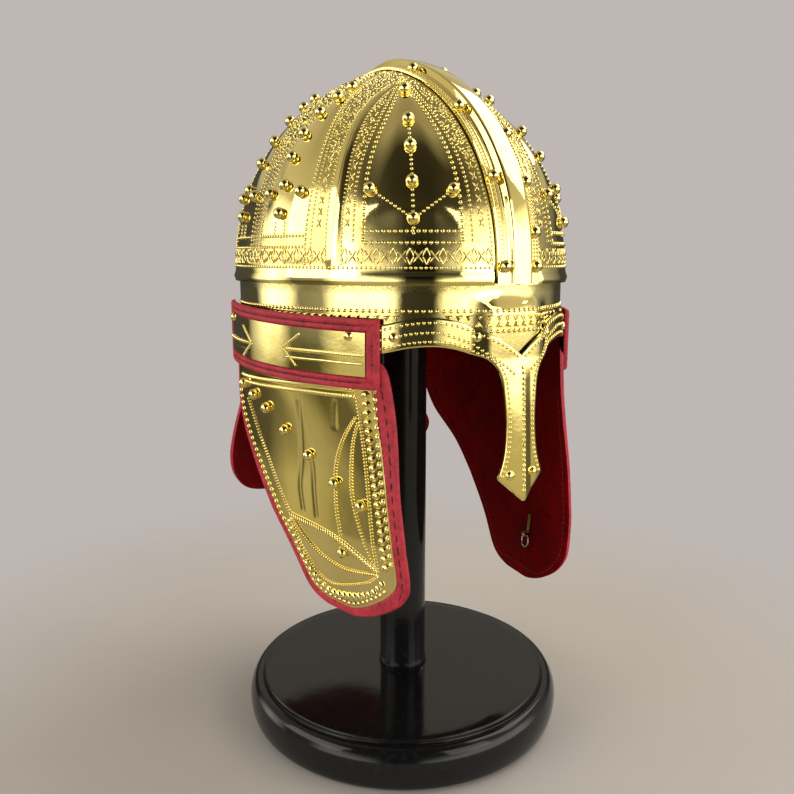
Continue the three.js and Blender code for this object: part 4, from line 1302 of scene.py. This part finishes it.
def stand():
    b, p = BASE, POST
    step = b.height - b.step
    round_over = 1.2
    lathe("stand_base", [
        (0, 0), (b.foot - 2, 0), (b.foot, 0.6),
        *arc((b.foot, b.bulge_at), (b.bulge - b.foot, b.bulge_at - 0.6), -80, 0, 10),
        *arc((b.shoulder, b.bulge_at), (b.bulge - b.shoulder, step - b.bulge_at), 6, 84, 14),
        (b.shoulder - 0.6, step), (b.top + 1.0, step - 0.3), (b.top + 0.3, step - 0.6), (b.top, step - 0.2),
        *arc((b.top - round_over, b.height - round_over), (round_over, round_over), 0, 90, 6),
        (b.top - 8, b.height), (b.top / 2, b.height), (0, b.height),
    ], 160)
    foot = b.height + GAP
    crown = RIM_Z + p.head_top
    rim = crown - p.head_drop
    neck_end = rim - 3 * p.head_rim
    lathe("stand_post", [
        (0, foot), (p.foot, foot), (p.foot, foot + 1.2), (p.foot - 0.3, foot + 2.6),
        (p.radius, foot + p.foot_height), (p.radius, foot + 40),
        (p.radius, neck_end - 6), (p.radius + 0.6, neck_end),
        (p.head - 1.5, rim - p.head_rim - 1), (p.head, rim - p.head_rim + 1), (p.head, rim - 0.8),
        (p.head - 1, rim + 0.3), (p.head * 0.5, crown - p.head_drop / 3), (p.head * 0.2, crown - 0.4),
        (0, crown),
    ], 96)


# Camera, floor and light, in metres and degrees. Bearings run from the photo view, at 0, to its right.

CAMERA = Sizes(place=(-0.3003, -0.4319, 0.3164), pitch=79.743, heading=-34.38, lens=35.705, sensor=36.0)
AIM = Vector((0.0, 0.0, 0.30))
FLOOR = Sizes(colour=(0.56, 0.52, 0.49), radius=3.0, drop=0.0002, fade=(0.2, 0.55))
BACKDROP = (0.52, 0.475, 0.455)
# Lights: bearing, height over the aim, distance, size, power.
SOFTBOXES = {
    "window left": (-65, 0.50, 1.4, (1.3, 0.8), 8),
    "window right": (45, 0.45, 1.4, (0.8, 0.7), 4),
    "window behind": (115, 1.15, 1.1, (1.5, 1.0), 13),
}
LIGHT_COLOUR = (1.0, 0.97, 0.92)

# The room as the brass mirrors it, by share of the way from straight down to straight up: colour.
ROOM = (
    (0.0, (0.05, 0.045, 0.028)), (0.30, (0.15, 0.135, 0.085)), (0.43, (0.18, 0.165, 0.11)),
    (0.47, (0.92, 0.90, 0.84)), (0.62, (0.95, 0.93, 0.88)), (0.71, (0.22, 0.20, 0.16)),
    (1.0, (0.10, 0.09, 0.07)),
)
ROOM_STRENGTH = 3.2
# Windows and dark corners round the room at eye level: bearing, brightness.
AROUND = (
    (-180, 0.02), (-124, 0.025), (-106, 1.0), (-96, 0.8), (-86, 0.09), (-66, 0.12), (-54, 0.95), (-20, 1.0),
    (-13, 0.025), (8, 0.02), (16, 1.0), (88, 1.0), (104, 0.2), (124, 0.09), (136, 0.02), (180, 0.02),
)
# How far these show above and below eye level, by the same share as the room's.
AROUND_REACH = ((0.0, 0.5), (0.30, 0.8), (0.46, 1.0), (0.64, 1.0), (0.76, 0.0))
# The room's dark part above and behind the photo view: cosine of the angle from its middle, brightness.
SHADE = ((0.0, 1.0), (0.62, 1.0), (0.84, 0.10), (1.0, 0.05))
SHADE_LEAN = Sizes(out=0.75, up=0.66)


def towards(bearing):
    """The level direction from the helmet at a bearing."""
    turn = math.radians(CAMERA.heading + bearing)
    return Vector((math.sin(turn), -math.cos(turn), 0.0))


def camera():
    data = bpy.data.cameras.new("photo view")
    data.lens = CAMERA.lens
    data.sensor_width = CAMERA.sensor
    data.clip_start = 0.01
    view = show("photo view", data)
    view.location = CAMERA.place
    view.rotation_euler = (math.radians(CAMERA.pitch), 0, math.radians(CAMERA.heading))
    bpy.context.scene.camera = view


def floor():
    """A pale disc that fades out into the backdrop."""
    mesh = bpy.data.meshes.new("floor")
    rim = arc((0, 0), (FLOOR.radius, FLOOR.radius), 0, 360, 97)[:-1]
    mesh.from_pydata([(x, y, -FLOOR.drop) for x, y in rim], [], [range(len(rim))])
    n = new_material("pale floor")
    tone = n.ramp(n.noise(9.0, 4.0), [(0.3, 0.0), (0.7, 1.0)])
    shade = n.mix(tone, FLOOR.colour, times(FLOOR.colour, 1.04))
    away = n.node("ShaderNodeVectorMath", {"operation": "LENGTH"}, Vector=n.place()).outputs["Value"]
    fade = n.share(away, *FLOOR.fade, "SMOOTHSTEP")
    clear = n.node("ShaderNodeBsdfTransparent").outputs[0]
    n.blend(fade, n.tree.nodes["Principled BSDF"].outputs[0], clear, "Material Output")
    mesh.materials.append(n.finish(Base_Color=shade, Roughness=0.75))
    ground = show("floor", mesh)


def surroundings():
    """A pale room, dark above and behind the photo view, and an even pale backdrop."""
    world = bpy.data.worlds.new("studio")
    bpy.context.scene.world = world
    n = Nodes(world)
    place = n.place("Generated")
    view, right = towards(0), towards(90)
    rise = n.share(n.dot(place, (0, 0, 1)), -1.0, 1.0)
    bearing = n.maths("ARCTAN2", n.dot(place, right), n.dot(place, view))
    windows = [((deg + 180) / 360, bright) for deg, bright in AROUND]
    ring = n.ramp(n.share(bearing, -math.pi, math.pi), windows)
    colour = n.mix(n.ramp(rise, AROUND_REACH), n.ramp(rise, ROOM), ring, "MULTIPLY")
    overhead = n.dot(place, view * SHADE_LEAN.out + Vector((0, 0, SHADE_LEAN.up)))
    colour = n.mix(1.0, colour, n.ramp(n.share(overhead, 0.0, 1.0), SHADE), "MULTIPLY")
    room = n.tree.nodes["Background"]
    n.set(room.inputs["Color"], colour)
    n.set(room.inputs["Strength"], ROOM_STRENGTH)
    backdrop = n.node("ShaderNodeBackground", Color=BACKDROP)
    seen = n.node("ShaderNodeLightPath").outputs["Is Camera Ray"]
    n.blend(seen, room.outputs[0], backdrop.outputs[0], "World Output")


def lights():
    for name, (bearing, height, away, size, power) in SOFTBOXES.items():
        data = bpy.data.lights.new(name, "AREA")
        data.shape = "RECTANGLE"
        data.size, data.size_y = size
        data.energy = power
        data.color = LIGHT_COLOUR
        light = show(name, data)
        light.location = AIM + towards(bearing) * away + Vector((0, 0, height))
        light.rotation_euler = (AIM - light.location).to_track_quat("-Z", "Y").to_euler()
    bpy.context.scene.view_settings.view_transform = "Standard"


camera()
floor()
surroundings()
lights()

stand()
for side_name, side_sign in SIDES.items():
    bowl_half(side_name, side_sign)
ridge()
base_band()
brow_nasal()
for side_name, side_sign in SIDES.items():
    temple(side_name, side_sign)
    cheek(side_name, side_sign)
    tie_ring(side_name, side_sign)
neck()
